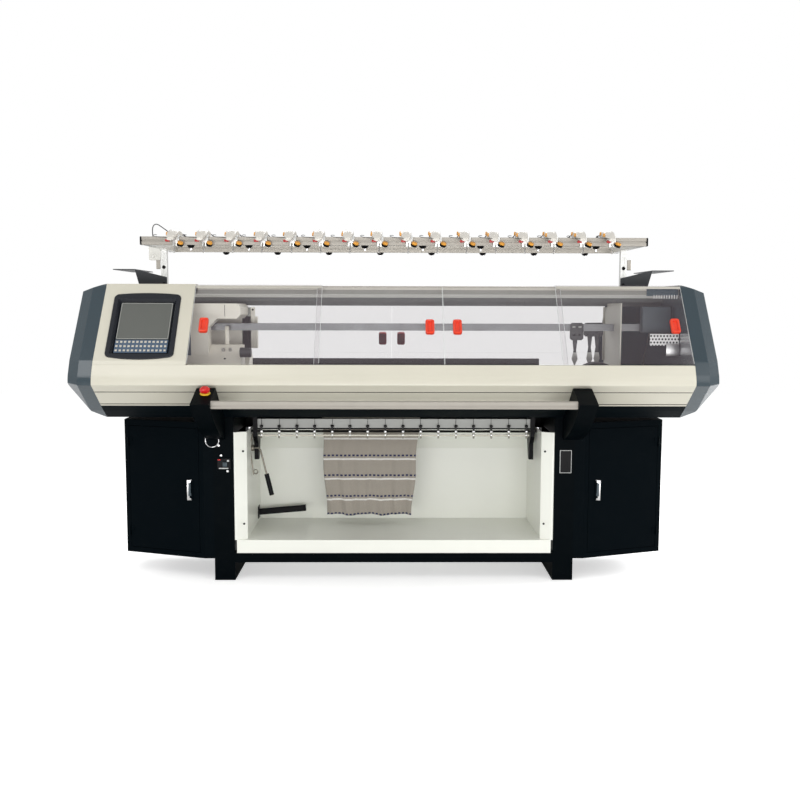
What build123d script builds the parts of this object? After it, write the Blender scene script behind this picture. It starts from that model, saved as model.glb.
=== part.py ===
from build123d import *
import math
import os

os.makedirs("parts", exist_ok=True)

# Millimetres. X runs along the machine, the operator stands at -Y, the floor is z = 0.
# Sections are drawn about the needle gap at y = 0 and moved by rear_shift when they are written.

# Leg frame
leg_inner_x = 720.0
leg_width = 92.0
leg_depth = 90.0
frame_half_depth = 230.0
foot_rail_height = 80.0
top_rail_height = 80.0
lower_beam_bottom = 82.0
lower_beam_top = 125.0
lower_beam_depth = 60.0

# Head casing section
head_floor_z = 745.0
floor_half_depth = 230.0
chine_y = 284.0
chine_z = 780.0
knee_y = 450.0
knee_low_z = 905.0
knee_high_z = 930.0
shoulder_y = 415.0
shoulder_z = 1007.0
roof_half_depth = 179.0
roof_z = 1336.0
sheet_wall = 4.0
cover_edge_share = 0.8
upper_groove_share = 0.26
lower_groove_share = 0.73
belly_radius = 95.0
groove_width = 5.0
groove_depth = 2.0
sill_z = 990.0
sill_ledge = 30.0
sill_set_back = 26.0
rear_sill_z = 925.0
rear_sill_y = 405.0

# End caps
cap_band = 58.0
cap_bevel = 50.0
cap_bevel_scale = 0.93
cap_scale_centre_z = 1010.0
cap_round = 40.0
cap_fillet = 6.0
cap_droop = 34.0
cap_taper = 54.0
cap_taper_z = 776.0

# Windows and their rails
glass_wall = 4.0
outer_track = 2.0
inner_track = 12.0
window_low_z = 994.0
outer_flange_depth = 38.0
inner_flange_depth = 18.0
flange_gap = 0.3
window_one_right = -322.0
window_two = (-345.0, 213.0)
window_three = (215.0, 742.0)
window_four_left = 718.0
rear_window_meet = -11.0
rear_panel_length = 220.0
rear_window_lap = 12.0
rear_window_low_z = 929.0
window_gap = 1.0
handle_one_x = -828.0
handle_two_x = 154.0
handle_three_x = 274.0
handle_four_x = 1223.0
rear_handle_left_x = -57.0
rear_handle_right_x = 36.0
handle_width = 38.0
handle_height = 72.0
handle_proud = 14.0
handle_wall = 4.0
handle_from_top = 225.0
rear_handle_from_top = 320.0
rail_inner_y = 118.0
rail_outer_y = 160.0
rail_height = 34.0
rail_wall = 3.0
rear_rail_height = 62.0
rear_lip_height = 20.0
rear_lip_y = 116.0
rear_rail_inner_y = 88.0
rib_width = 5.0

# Console
console_length = 394.0
bezel_from_cap = 192.0
bezel_width = 293.0
bezel_top = 62.0
bezel_length = 324.0
bezel_corner = 22.0
bezel_arc_rise = 9.0
bezel_low_rise = 14.0
bezel_proud = 6.0
bezel_depth = 22.0
panel_width = 230.0
panel_top = 98.0
screen_length = 192.0
keypad_length = 66.0
panel_gap = 3.0
panel_wall = 5.0
panel_recess = 12.0
key_rows = 3
key_columns = 13
key_size = 9.0
key_proud = 1.2

# Needle beds and base
bed_half_length = 665.0
gap_half = 6.0
bed_top_z = 955.0
bed_drop = 106.0
bed_thickness = 22.0
needle_pitch = 20.0
needle_groove = 4.0
needle_groove_depth = 5.0
needle_groove_run = 60.0
base_half_length = 1000.0
cap_from_base = 280.0
base_half_depth = 130.0
base_side_height = 50.0
base_slot_half = 14.0
running_gap = 0.05
racking_travel = 25.0

# Carriage and its rails
guide_y = 205.0
guide_head = 30.0
guide_web = 12.0
guide_web_height = 51.0
guide_overrun = 15.0
fit = 0.03
carriage_overrun = 10.0
carriage_length = 360.0
cam_box_length = 322.0
column_width = 170.0
arch_length = 317.0
arch_front_y = -150.0
arch_under_z = 1182.0
arch_top_z = 1250.0
arch_half_depth = 110.0
tunnel_half = 75.0
cam_gap = 3.0
bridge_chamfer = 18.0
brace_size = 40.0
cam_nose_y = 24.0
cam_step_z = 985.0
cam_top_z = 1063.0
cam_brow_y = 90.0
cam_knee_y = 205.0
cam_knee_z = 976.0
cam_front_z = 900.0
cam_shoe = 14.0
rear_column_z = 1040.0

# Yarn rails, carriers and side plates
yarn_rail_y = 30.0
yarn_rail_width = 16.0
yarn_rail_low_z = 1127.0
yarn_rail_high_z = 1159.0
yarn_rail_overrun = 156.0
yarn_groove = 4.0
carrier_gap = 0.4
carrier_width = 62.0
carrier_wall = 10.0
inner_carrier_drop = 58.0
outer_carrier_drop = 74.0
finger_width = 12.0
finger_wall = 3.0
finger_tip_z = 962.0
carrier_one_x = 846.0
carrier_two_x = 916.0
carrier_three_x = 951.0
outer_lane_y = -7.0
inner_lane_y = 2.5
side_plate_clear = 20.0
side_plate_wall = 6.0
side_plate_depth = 160.0
side_plate_flange = 8.0
side_flange_drop = 200.0
side_plate_top_z = 1255.0

# Belt drive
pulley_x = 887.0
pulley_z = 893.0
pulley_radius = 38.0
guard_radius = 105.0
guard_front_y = -335.0
guard_back_y = -258.0
guard_foot_z = 832.0
guard_base_z = 770.6
guard_wall = 4.0
motor_radius = 42.0
motor_front_y = -365.0
stand_base_z = 768.0
belt_wall = 3.0
belt_front_y = -300.0
belt_width = 25.0
belt_left_x = -1130.0

# Take-down
liner_inner_x = 665.0
liner_wall = 3.0
liner_flare_x = 712.0
liner_flare_y = -203.0
liner_top_z = 676.0
arm_inner_x = 634.0
arm_width = 20.0
arm_front_y = -80.0
arm_back_y = 50.0
arm_bottom_z = 524.0
arm_toe_y = -42.0
roller_y = 27.0
roller_z = 690.0
roller_radius = 26.0
roller_shaft = 8.0
press_y = -72.0
press_z = 661.0
press_radius = 5.0
lever_count = 16
lever_pitch = 82.0
lever_width = 8.0
tie_half = 3.5
strip_y = -60.0
strip_low_z = 675.0
strip_high_z = 718.0
strip_wall = 4.0
release_y = -60.0
release_z = 581.0
release_radius = 4.5
release_boss = 6.0
grip_radius = 10.0
grip_length = 104.0

# Cloth box
tray_z = 185.0
tray_half_x = 711.0
tray_back_y = 226.0
panel_bend_z = 538.0
panel_top_y = 150.0
panel_top_z = 694.0
feeler_length = 234.0
feeler_height = 30.0
feeler_depth = 24.0
feeler_z = 243.0
feeler_y = 152.0
feeler_tilt = 5.0
feeler_foot = 4.0
fabric_left_x = -339.0
fabric_right_x = 120.0
fabric_top_z = 714.0
fabric_bottom_z = 250.0
fabric_gap_z = 946.0
fabric_wall = 3.0
fabric_taper = 24.0
fabric_fold = 13.0
fabric_folds = 5

# Cabinets
cabinet_outer_x = 1242.0
cabinet_corner_x = 857.0
cabinet_outer_y = -96.0
cabinet_front_y = -229.0
cabinet_back_y = 229.0
cabinet_low_z = 100.0
cabinet_high_z = 720.0
cabinet_wall = 3.0
door_margin = 24.0
door_low_z = 126.0
door_high_z = 691.0
door_gap = 2.0
door_wall = 3.0
hinge_from_corner = 18.7
hinge_out = 4.0
hinge_radius = 3.6
hinge_pin = 2.0
hinge_lift = 0.3
knuckle_height = 20.0
hinge_heights = (200.0, 617.0)
lock_from_edge = 44.0
lock_width = 27.0
lock_low_z = 366.0
lock_high_z = 456.0

# Start bar, brackets and stop button
bracket_inner_x = 757.0
bracket_width = 79.0
bracket_back_y = -452.0
bracket_back_z = 893.0
bracket_nose_y = -597.0
bracket_nose_z = 838.0
bracket_foot_z = 644.0
bracket_waist_y = -440.0
bracket_waist_z = 723.0
bracket_clear = 9.0
belly_clear = 4.0
bar_y = -553.0
bar_z = 833.0
bar_height = 33.0
bar_depth = 28.0
bar_gap = 1.0
pin_radius = 5.0
pin_length = 30.0
pin_clear = 0.05
button_x = -790.0
button_slope = 52.0
button_radius = 21.0
button_height = 17.0
button_stem = 10.0
button_sides = 24
button_stem_length = 34.0
button_lift = 12.0

# Yarn rack
front_beam_y = -235.0
rear_beam_y = 305.0
beam_depth = 30.0
beam_low_z = 1504.0
beam_height = 36.0
beam_slot = 8.0
post_x = 1090.0
post_y = 108.0
post_size = 28.0
arm_height = 30.0
unit_count = 16
unit_pitch = 127.0
unit_width = 46.0
unit_back_y = -138.0
unit_front_y = -318.0
unit_floor_z = 1541.0
unit_crown_z = 1572.0
unit_nose_z = 1519.0
unit_nose_share = 0.6
disc_offset = 28.0
disc_radius = 11.0
disc_sides = 8
shelf_web_z = 1374.0
shelf_z = 1412.0
shelf_outer_x = 1330.0
shelf_bend_x = 1228.0
shelf_web_taper = 24.0
shelf_back_y = 440.0
shelf_wall = 4.0
box_width = 54.0
box_height = 72.0
box_depth = 40.0

# Breaker panel on the left leg
breaker_x = -763.0
breaker_z = 534.0
breaker_width = 58.0
breaker_height = 47.0
breaker_proud = 6.0

# Lengths that follow the bed base
cap_inner_x = base_half_length + cap_from_base
guide_half_length = base_half_length + guide_overrun
side_plate_x = base_half_length + side_plate_clear
yarn_rail_half_length = side_plate_x + yarn_rail_overrun
carriage_left_x = -base_half_length - carriage_overrun
carriage_right_x = carriage_left_x + carriage_length
arch_right_x = carriage_left_x + arch_length
console_right_x = -cap_inner_x + console_length
bezel_centre_x = -cap_inner_x + bezel_from_cap
rear_panel_x = cap_inner_x - rear_panel_length
window_one = (console_right_x + 2 * window_gap, window_one_right)
window_four = (window_four_left, cap_inner_x - window_gap)
rear_window_left = (-rear_panel_x - rear_window_lap, rear_window_meet - window_gap)
rear_window_right = (rear_window_meet + window_gap, rear_panel_x + rear_window_lap)
beam_half_length = post_x + post_size / 2

rear_shift = (-bracket_nose_y - knee_y) / 2


def save(name, shape):
    """Move a finished piece so that the overall box is centred in y, and write it."""
    placed = Pos(0, rear_shift, 0) * shape
    placed.label = name
    export_step(placed, f"parts/{name}.step")


def block(x_low, x_high, y_low, y_high, z_low, z_high):
    """A box given by its six faces."""
    centre = Pos((x_low + x_high) / 2, (y_low + y_high) / 2, (z_low + z_high) / 2)
    return centre * Box(x_high - x_low, y_high - y_low, z_high - z_low)


def along_x(points, x_low, x_high):
    """Carry a closed y, z outline along the machine."""
    face = Plane.YZ.offset(x_low) * make_face(Polyline(*points, close=True))
    return extrude(face, amount=x_high - x_low)


def sheet_along_x(points, wall, x_low, x_high, radius=2.0, side=Side.LEFT):
    """Carry a folded y, z sheet of one wall thickness along the machine."""
    line = FilletPolyline(*points, radius=radius)
    band = make_face(offset(line, amount=wall, side=side))
    return extrude(Plane.YZ.offset(x_low) * band, amount=x_high - x_low)


def rod_x(radius, x_low, x_high, y, z):
    """A round bar along the machine."""
    return Pos((x_low + x_high) / 2, y, z) * Rot(0, 90, 0) * Cylinder(radius, x_high - x_low)


def rod_y(radius, y_low, y_high, x, z):
    """A round bar from front to back."""
    return Pos(x, (y_low + y_high) / 2, z) * Rot(90, 0, 0) * Cylinder(radius, y_high - y_low)


def sided_rod_y(radius, sides, y_low, y_high, x, z):
    """A many-sided bar from front to back."""
    face = Plane.XZ.offset(-y_high) * Pos(x, z, 0) * RegularPolygon(radius, sides)
    return extrude(face, amount=y_high - y_low)


def to_rear(shape):
    """The mirror image of a front piece behind the needle gap."""
    return mirror(shape, Plane.XZ)


def to_right(shape):
    """The mirror image of a left piece at the right end."""
    return mirror(shape, Plane.YZ)


# Plane of the sloping windows: local x along the machine, local y up the slope, z outwards
slope_rise = roof_z - shoulder_z
slope_run = shoulder_y - roof_half_depth
slope_length = math.hypot(slope_rise, slope_run)
slope_normal = (0, -slope_rise / slope_length, slope_run / slope_length)
slope_plane = Plane(origin=(0, -roof_half_depth, roof_z), x_dir=(1, 0, 0), z_dir=slope_normal)

# Line of the casing from knee to chine
under_run = knee_y - chine_y
under_rise = knee_low_z - chine_z


def under_point(share, lift=0.0):
    """A point on the sloping underside, share of the way from knee to chine."""
    return (-knee_y + under_run * share, knee_low_z - under_rise * share + lift)


def on_slope(x_low, x_high, down_low, down_high, in_low, in_high):
    """A box on the window slope: distances down the slope and inwards from it."""
    width = x_high - x_low
    centre = Pos((x_low + x_high) / 2, -(down_low + down_high) / 2, -(in_low + in_high) / 2)
    return slope_plane * centre * Box(width, down_high - down_low, in_high - in_low)


def head_section():
    """The closed outline of the head casing."""
    front = [
        (-roof_half_depth, roof_z),
        (-shoulder_y, shoulder_z),
        (-knee_y, knee_high_z),
        (-knee_y, knee_low_z),
        (-chine_y, chine_z),
        (-floor_half_depth, head_floor_z),
    ]
    rear = [(-y, z) for y, z in reversed(front)]
    return front + rear


def leg_frame():
    """Welded side frames with foot and top rails, tied by cross beams front and rear."""
    outer = leg_inner_x + leg_width
    half = frame_half_depth
    side = block(leg_inner_x, outer, -half, half, 0, foot_rail_height)
    side += block(leg_inner_x, outer, -half, half, head_floor_z - top_rail_height, head_floor_z)
    side += block(leg_inner_x, outer, -half, leg_depth - half, 0, head_floor_z)
    side += block(leg_inner_x, outer, half - leg_depth, half, 0, head_floor_z)
    frame = side + to_right(side)
    beam = block(
        -leg_inner_x, leg_inner_x, -half, lower_beam_depth - half, lower_beam_bottom, lower_beam_top
    )
    frame += beam
    back = half - lower_beam_depth
    frame += block(-leg_inner_x, leg_inner_x, back, half, lower_beam_bottom, tray_z - liner_wall)
    frame += block(-leg_inner_x, leg_inner_x, back, half, liner_top_z + 1, head_floor_z)
    return frame


def head_pan():
    """Dark trough that closes the head from below, with a slot for the cloth and its rollers."""
    edge_y, edge_z = under_point(cover_edge_share)
    points = [
        (edge_y + 1, edge_z - 1),
        (-chine_y, chine_z),
        (-floor_half_depth, head_floor_z),
        (floor_half_depth, head_floor_z),
        (chine_y, chine_z),
        (-edge_y - 1, edge_z - 1),
    ]
    pan = sheet_along_x(points, sheet_wall, -cap_inner_x, cap_inner_x, radius=3.0)
    slot = block(
        -bed_half_length,
        bed_half_length,
        arm_front_y - 4,
        arm_back_y + 12,
        head_floor_z - sheet_wall,
        head_floor_z + 2 * sheet_wall,
    )
    stand = block(
        belt_left_x - 30,
        belt_left_x + 30,
        guard_back_y - guard_wall,
        guard_back_y,
        stand_base_z,
        pulley_z,
    )
    idler = rod_y(pulley_radius, belt_front_y, guard_back_y, belt_left_x, pulley_z)
    return pan - slot + stand + idler


def cover_sheet():
    """Beige cover from its sill over the belly to the lower lip, grooved along its length."""
    edge = under_point(cover_edge_share)
    points = [
        (-knee_y + sill_set_back + sill_ledge, sill_z),
        (-knee_y + sill_set_back, sill_z),
        (-knee_y, knee_high_z),
        (-knee_y, knee_low_z),
        edge,
    ]
    radii = [2.0, belly_radius, cap_fillet]
    return sheet_along_x(points, sheet_wall, -cap_inner_x, cap_inner_x, radius=radii)


def cover_grooves():
    """The two shadow grooves along the belly of a cover."""
    groove = Box(2 * cap_inner_x, 2 * groove_depth, groove_width)
    turn = Rot(90 - math.degrees(math.atan2(under_rise, under_run)), 0, 0)
    upper_y, upper_z = under_point(upper_groove_share)
    lower_y, lower_z = under_point(lower_groove_share)
    return Pos(0, upper_y, upper_z) * turn * groove + Pos(0, lower_y, lower_z) * turn * groove


def front_cover():
    """The long front cover."""
    return cover_sheet() - cover_grooves()


def end_panel(x_low, x_high):
    """A sloping closing panel beside the windows, with a hem over the roof."""
    panel = on_slope(x_low, x_high, 0, slope_length, 0, sheet_wall)
    hem = block(
        x_low, x_high, -roof_half_depth, -roof_half_depth + 50, roof_z - sheet_wall, roof_z
    )
    skirt = along_x(
        [
            (-shoulder_y, shoulder_z),
            (-knee_y + sill_set_back, sill_z),
            (-knee_y + sill_set_back + sheet_wall, sill_z),
            (-shoulder_y + sheet_wall, shoulder_z),
        ],
        x_low,
        x_high,
    )
    return panel + hem + skirt


def rear_sheet():
    """Rear cover sheet: a deep sill low behind the beds, a short wall and the belly."""
    points = [
        (-rear_sill_y, rear_sill_z),
        (-knee_y, rear_sill_z),
        (-knee_y, knee_low_z),
        under_point(cover_edge_share),
    ]
    radii = [3.0, cap_fillet]
    return sheet_along_x(points, sheet_wall, -cap_inner_x, cap_inner_x, radius=radii)


def rear_cover():
    """The rear cover, with a fixed bent panel inside the window track at each end."""
    cover = rear_sheet() - cover_grooves()
    low = rear_sill_z - sheet_wall / 2
    left = bent_window(-cap_inner_x, -rear_panel_x, inner_track, inner_flange_depth, low)
    for panel in left:
        cover += panel + to_right(panel)
    return to_rear(cover)


def bezel_outline(grow=0.0):
    """Bezel face: straight sides, gently arched top and bottom, round corners."""
    half = bezel_width / 2 + grow
    top = -bezel_top + grow
    low = -bezel_top - bezel_length - grow
    left_top = (-half, top)
    right_top = (half, top)
    left_low = (-half, low)
    right_low = (half, low)
    edges = ThreePointArc(left_top, (0, top + bezel_arc_rise), right_top)
    edges += Line(right_top, right_low)
    edges += ThreePointArc(right_low, (0, low - bezel_low_rise), left_low)
    edges += Line(left_low, left_top)
    face = make_face(edges)
    return fillet(face.vertices(), bezel_corner + grow)


def console_cover():
    """Sloping cover at the left end that carries the console."""
    cover = end_panel(-cap_inner_x, console_right_x)
    hole = extrude(bezel_outline(-8), amount=40, both=True)
    return cover - slope_plane * Pos(bezel_centre_x, 0, 0) * hole


def console_bezel():
    """Raised frame with sloping inner sides round the screen and keypad."""
    frame = extrude(bezel_outline(), amount=bezel_proud)
    frame += extrude(bezel_outline(-8 - panel_gap / 10), amount=-bezel_depth)
    frame = chamfer(frame.faces().sort_by(Axis.Z)[-1].outer_wire().edges(), 2.5)
    opening = panel_gap * 2 + screen_length + keypad_length
    centre_y = -panel_top - opening / 2
    bottom = Plane.XY.offset(-panel_recess)
    mouth = Pos(0, centre_y, bezel_proud) * Rectangle(panel_width + 26, opening + 22)
    floor = bottom * Pos(0, centre_y, 0) * Rectangle(panel_width, opening)
    frame -= loft([mouth, floor])
    return slope_plane * Pos(bezel_centre_x, 0, 0) * frame


def console_screen():
    """Screen glass in its thin frame, on the bezel's floor."""
    down = panel_top + panel_gap / 2
    return on_slope(
        bezel_centre_x - panel_width / 2 + 2,
        bezel_centre_x + panel_width / 2 - 2,
        down,
        down + screen_length,
        panel_recess - panel_wall,
        panel_recess,
    )


def console_keypad():
    """Keypad plate with raised keys in three rows."""
    down = panel_top + panel_gap * 1.5 + screen_length
    width = panel_width - 4
    plate = on_slope(
        bezel_centre_x - width / 2,
        bezel_centre_x + width / 2,
        down,
        down + keypad_length,
        panel_recess - panel_wall,
        panel_recess,
    )
    step_x = width / key_columns
    step_y = keypad_length / key_rows
    top = panel_recess - panel_wall
    key = Box(key_size, key_size, key_proud * 2)
    for row in range(key_rows):
        for column in range(key_columns):
            x = bezel_centre_x + step_x * (column - (key_columns - 1) / 2)
            y = -down - step_y * (row + 0.5)
            plate += slope_plane * Pos(x, y, -top) * key
    return plate


def end_cap():
    """Left end cap: a straight band on the casing section, then a bevelled side."""
    section = make_face(Polyline(*head_section(), close=True))
    section = fillet(section.vertices().filter_by(lambda v: v.Y > knee_high_z + 1), cap_round)
    belly = section.vertices().filter_by(lambda v: knee_low_z + 1 < v.Y < knee_high_z + 1)
    section = fillet(belly, belly_radius)
    section = fillet(section.vertices().filter_by(lambda v: v.Y < knee_low_z + 1), cap_fillet)
    band = extrude(Plane.YZ.offset(-cap_inner_x) * section, amount=-cap_band)
    rise = cap_scale_centre_z * (1 - cap_bevel_scale)
    smaller = Pos(0, rise, 0) * scale(section, cap_bevel_scale)
    inner = Plane.YZ.offset(-cap_inner_x - cap_band) * section
    outer = Plane.YZ.offset(-cap_inner_x - cap_band - cap_bevel) * smaller
    cap = band + loft([inner, outer], ruled=True)
    edge = -cap_inner_x - cap_band - cap_bevel
    wedge = Polyline(
        (-cap_inner_x - 5, roof_z + 1), (edge, roof_z - cap_droop), (edge, roof_z + 1), close=True
    )
    under = Polyline(
        (edge - 1, knee_low_z),
        (edge + cap_taper, cap_taper_z),
        (edge + 2 * cap_taper, head_floor_z - 1),
        (edge - 1, head_floor_z - 1),
        close=True,
    )
    cap -= extrude(Plane.XZ * make_face(under), amount=knee_y, both=True)
    return cap - extrude(Plane.XZ * make_face(wedge), amount=knee_y, both=True)


def facet_y(top, low, depth, height):
    """Where a line at some depth under one facet of the front outline reaches a height."""
    run = top[0] - low[0]
    rise = top[1] - low[1]
    return top[0] + (depth * math.hypot(run, rise) + (height - top[1]) * run) / rise


roof_corner = (-roof_half_depth, roof_z)
shoulder = (-shoulder_y, shoulder_z)
knee = (-knee_y, knee_high_z)


def shoulder_at(depth):
    """The inner shoulder corner of a pane at some depth under both facets."""
    run = knee_y - shoulder_y
    rise = shoulder_z - knee_high_z
    length = math.hypot(run, rise)
    upper = (-slope_rise / slope_length, slope_run / slope_length)
    lower = (-rise / length, run / length)
    scale_by = depth / (1 + upper[0] * lower[0] + upper[1] * lower[1])
    return (-shoulder_y - (upper[0] + lower[0]) * scale_by, shoulder_z - (upper[1] + lower[1]) * scale_by)


def pane_top(track):
    """Height of the flat top of a pane in a given track."""
    return roof_z - track * slope_run / slope_length - 1


def flange_under(track):
    """Height of the underside of a hanger strip in a given track."""
    return pane_top(track) - glass_wall


def sloping_pane(x_low, x_high, track, low_edge):
    """Upper pane on the slope, from its flat top to a lower edge of two points."""
    top = pane_top(track)
    outer_top = (facet_y(roof_corner, shoulder, track, top), top)
    inner_top = (facet_y(roof_corner, shoulder, track + glass_wall, top), top)
    return along_x([outer_top, inner_top, *low_edge], x_low, x_high)


def hanger_strip(x_low, x_high, track, flange_depth):
    """Strip bonded along the top of a pane, which rides on the rail."""
    top = pane_top(track)
    under = flange_under(track)
    inner = track + glass_wall
    back = facet_y(roof_corner, shoulder, track, top) + flange_depth
    points = [
        (facet_y(roof_corner, shoulder, inner, top), top),
        (back, top),
        (back, under),
        (facet_y(roof_corner, shoulder, inner, under), under),
    ]
    return along_x(points, x_low, x_high)


def bent_window(x_low, x_high, track, flange_depth, low_z):
    """Hanger strip, upper pane and the steeper lower pane of a rear window, drawn at the front."""
    inner = track + glass_wall
    bend = [shoulder_at(inner), shoulder_at(track)]
    upper = sloping_pane(x_low, x_high, track, bend)
    foot = [
        (facet_y(shoulder, knee, track, low_z), low_z),
        (facet_y(shoulder, knee, inner, low_z), low_z),
    ]
    lower = along_x([*bend, *foot], x_low, x_high)
    return [hanger_strip(x_low, x_high, track, flange_depth), upper, lower]


def window_handle(x, track, down):
    """A cupped pull standing on a pane."""
    body = on_slope(
        x - handle_width / 2,
        x + handle_width / 2,
        down - handle_height / 2,
        down + handle_height / 2,
        track - handle_proud,
        track,
    )
    body = chamfer(body.edges(), 2.0)
    cup = on_slope(
        x - handle_width / 2 + handle_wall * 2.5,
        x + handle_width / 2 - handle_wall * 2.5,
        down - handle_height / 2 + handle_wall * 2.5,
        down + handle_height / 2 - handle_wall * 2.5,
        track - handle_proud - 1,
        track - handle_wall,
    )
    return body - cup


def front_window(span, track, flange_depth, handle_x):
    """One sliding front window: pane, hanger strip and pull, bonded together."""
    inner = facet_y(roof_corner, shoulder, track + glass_wall, window_low_z)
    low_edge = [
        (inner, window_low_z),
        (
            inner - glass_wall * slope_rise / slope_length,
            window_low_z + glass_wall * slope_run / slope_length,
        ),
    ]
    pane = sloping_pane(span[0], span[1], track, low_edge)
    strip = hanger_strip(span[0], span[1], track, flange_depth)
    return Compound(children=[pane, strip, window_handle(handle_x, track, handle_from_top)])


def rear_window(span, handle_x):
    """One sliding rear window, bent at the shoulder, with its pull bonded on."""
    solids = bent_window(span[0], span[1], outer_track, outer_flange_depth, rear_window_low_z)
    solids.append(window_handle(handle_x, outer_track, rear_handle_from_top))
    return to_rear(Compound(children=solids))


def top_rail(inner_y, height):
    """Hollow roof rail with a rib that carries the outer windows; inner ones ride on its top."""
    top = flange_under(inner_track) - flange_gap
    rail = block(-cap_inner_x, cap_inner_x, -rail_outer_y, -inner_y, top - height, top)
    rail -= block(
        -cap_inner_x - 1,
        cap_inner_x + 1,
        -rail_outer_y + rail_wall,
        -inner_y - rail_wall,
        top - height + rail_wall,
        top - rail_wall,
    )
    rib_y = -roof_half_depth + outer_flange_depth - rib_width - 2
    rib_top = flange_under(outer_track) - flange_gap
    rail += block(-cap_inner_x, cap_inner_x, rib_y, rib_y + rib_width, top - 1, rib_top)
    return rail


def rear_rail():
    """Rear roof rail: deeper than the front one, with a lip behind the carriage."""
    rail = top_rail(rear_rail_inner_y, rear_rail_height)
    under = rear_rail_under()
    rail += block(
        -cap_inner_x, cap_inner_x, -rail_outer_y, -rear_lip_y, under, under + rear_lip_height + rail_wall
    )
    return to_rear(rail)


def rear_rail_under():
    """Height of the lower edge of the rear rail's lip."""
    return flange_under(inner_track) - flange_gap - rear_rail_height - rear_lip_height


def bed_base():
    """Cast base whose two sloping tops carry the needle beds, slotted for the cloth."""
    floor = head_floor_z + sheet_wall
    side_z = floor + base_side_height
    slope_top = base_half_depth - base_slot_half
    half = [
        (-base_slot_half, floor),
        (-base_half_depth, floor),
        (-base_half_depth, side_z),
        (-base_slot_half, side_z + slope_top),
    ]
    front = along_x(half, -base_half_length, base_half_length)
    base = front + to_rear(front)
    for side in (-1, 1):
        x_low = min(side * bed_half_length, side * base_half_length)
        x_high = max(side * bed_half_length, side * base_half_length)
        base += block(x_low, x_high, -base_slot_half, base_slot_half, floor, side_z + slope_top)
    return base


def bed_underside():
    """Height offset of the line on which a bed lies, at the gap."""
    return head_floor_z + sheet_wall + base_side_height + base_half_depth


def needle_bed(lift):
    """A grooved needle bed sloping down from the gap, cut square at the gap."""
    low = bed_underside() + lift
    wall = bed_thickness * math.sqrt(2)
    top = low + wall
    outer = gap_half + bed_drop
    points = [
        (-gap_half, top - gap_half),
        (-outer, top - outer),
        (-outer + wall / 2, low - outer + wall / 2),
        (-gap_half, low - gap_half),
    ]
    bed = along_x(points, -bed_half_length, bed_half_length)
    count = int(2 * bed_half_length / needle_pitch)
    groove = Rot(45, 0, 0) * Box(needle_groove, needle_groove_run * 2, needle_groove_depth * 2)
    start = Pos(0, -gap_half, top - gap_half)
    cuts = []
    for index in range(count):
        x = needle_pitch * (index - (count - 1) / 2)
        cuts.append(Pos(x, 0, 0) * start * groove)
    return bed - cuts


def guide_rail():
    """Carriage guide: square head on a web that stands in the pan."""
    floor = head_floor_z + sheet_wall
    web = block(
        -guide_half_length,
        guide_half_length,
        -guide_y - guide_web / 2,
        -guide_y + guide_web / 2,
        floor,
        floor + guide_web_height,
    )
    head = block(
        -guide_half_length,
        guide_half_length,
        -guide_y - guide_head / 2,
        -guide_y + guide_head / 2,
        floor + guide_web_height,
        floor + guide_web_height + guide_head,
    )
    return web + head


def cam_box():
    """Cam box over the front bed, with a shoe that saddles the guide rail."""
    surface = bed_underside() + bed_thickness * math.sqrt(2) + cam_gap
    shoe_half = guide_head / 2 + cam_shoe
    rail_low = head_floor_z + sheet_wall + guide_web_height
    points = [
        (-cam_nose_y, surface - cam_nose_y),
        (-cam_nose_y, surface - cam_nose_y / 4),
        (-tunnel_half, cam_step_z),
        (-tunnel_half, cam_top_z),
        (-cam_brow_y, cam_top_z),
        (-cam_knee_y, cam_knee_z),
        (-guide_y - shoe_half, cam_front_z),
        (-guide_y - shoe_half, rail_low + 4),
        (-guide_y + shoe_half, rail_low + 4),
        (-guide_y + shoe_half, surface - guide_y + shoe_half),
    ]
    box = along_x(points, carriage_left_x, carriage_left_x + cam_box_length)
    slot = block(
        carriage_left_x - 1,
        carriage_right_x + 1,
        -guide_y - guide_head / 2 - fit,
        -guide_y + guide_head / 2 + fit,
        rail_low - 1,
        rail_low + guide_head + fit,
    )
    return box - slot


def front_cam_box():
    """Front half of the carriage."""
    return cam_box()


def carriage_arch():
    """Arch over the yarn rails: front column, bridge, rear column and rear cam box."""
    column_right = carriage_left_x + column_width
    column = block(
        carriage_left_x, column_right, arch_front_y, -tunnel_half, cam_step_z, arch_under_z
    )
    bridge = block(
        carriage_left_x, arch_right_x, arch_front_y, arch_half_depth, arch_under_z, arch_top_z
    )
    ends = bridge.edges().filter_by(Axis.Y).group_by(Axis.X)[-1]
    arch = column - cam_box() + chamfer(ends, bridge_chamfer)
    brace = Polyline(
        (column_right, arch_under_z),
        (column_right + brace_size, arch_under_z),
        (column_right, arch_under_z - brace_size),
        close=True,
    )
    brace_plane = Plane.XZ.offset(tunnel_half)
    arch += extrude(brace_plane * make_face(brace), amount=-arch_front_y - tunnel_half)
    arch += block(
        carriage_left_x,
        carriage_right_x,
        tunnel_half,
        arch_half_depth,
        rear_column_z,
        arch_under_z + 2 * sheet_wall,
    )
    arch += to_rear(cam_box())
    return arch


def yarn_rail(y):
    """Yarn rail with a groove on each face for the carriers."""
    rail = block(
        -yarn_rail_half_length,
        yarn_rail_half_length,
        y - yarn_rail_width / 2,
        y + yarn_rail_width / 2,
        yarn_rail_low_z,
        yarn_rail_high_z,
    )
    middle = (yarn_rail_low_z + yarn_rail_high_z) / 2
    for side in (-1, 1):
        face_y = y + side * yarn_rail_width / 2
        rail -= block(
            -yarn_rail_half_length - 1,
            yarn_rail_half_length + 1,
            face_y - yarn_groove / 2,
            face_y + yarn_groove / 2,
            middle - yarn_groove,
            middle + yarn_groove,
        )
    return rail


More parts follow.
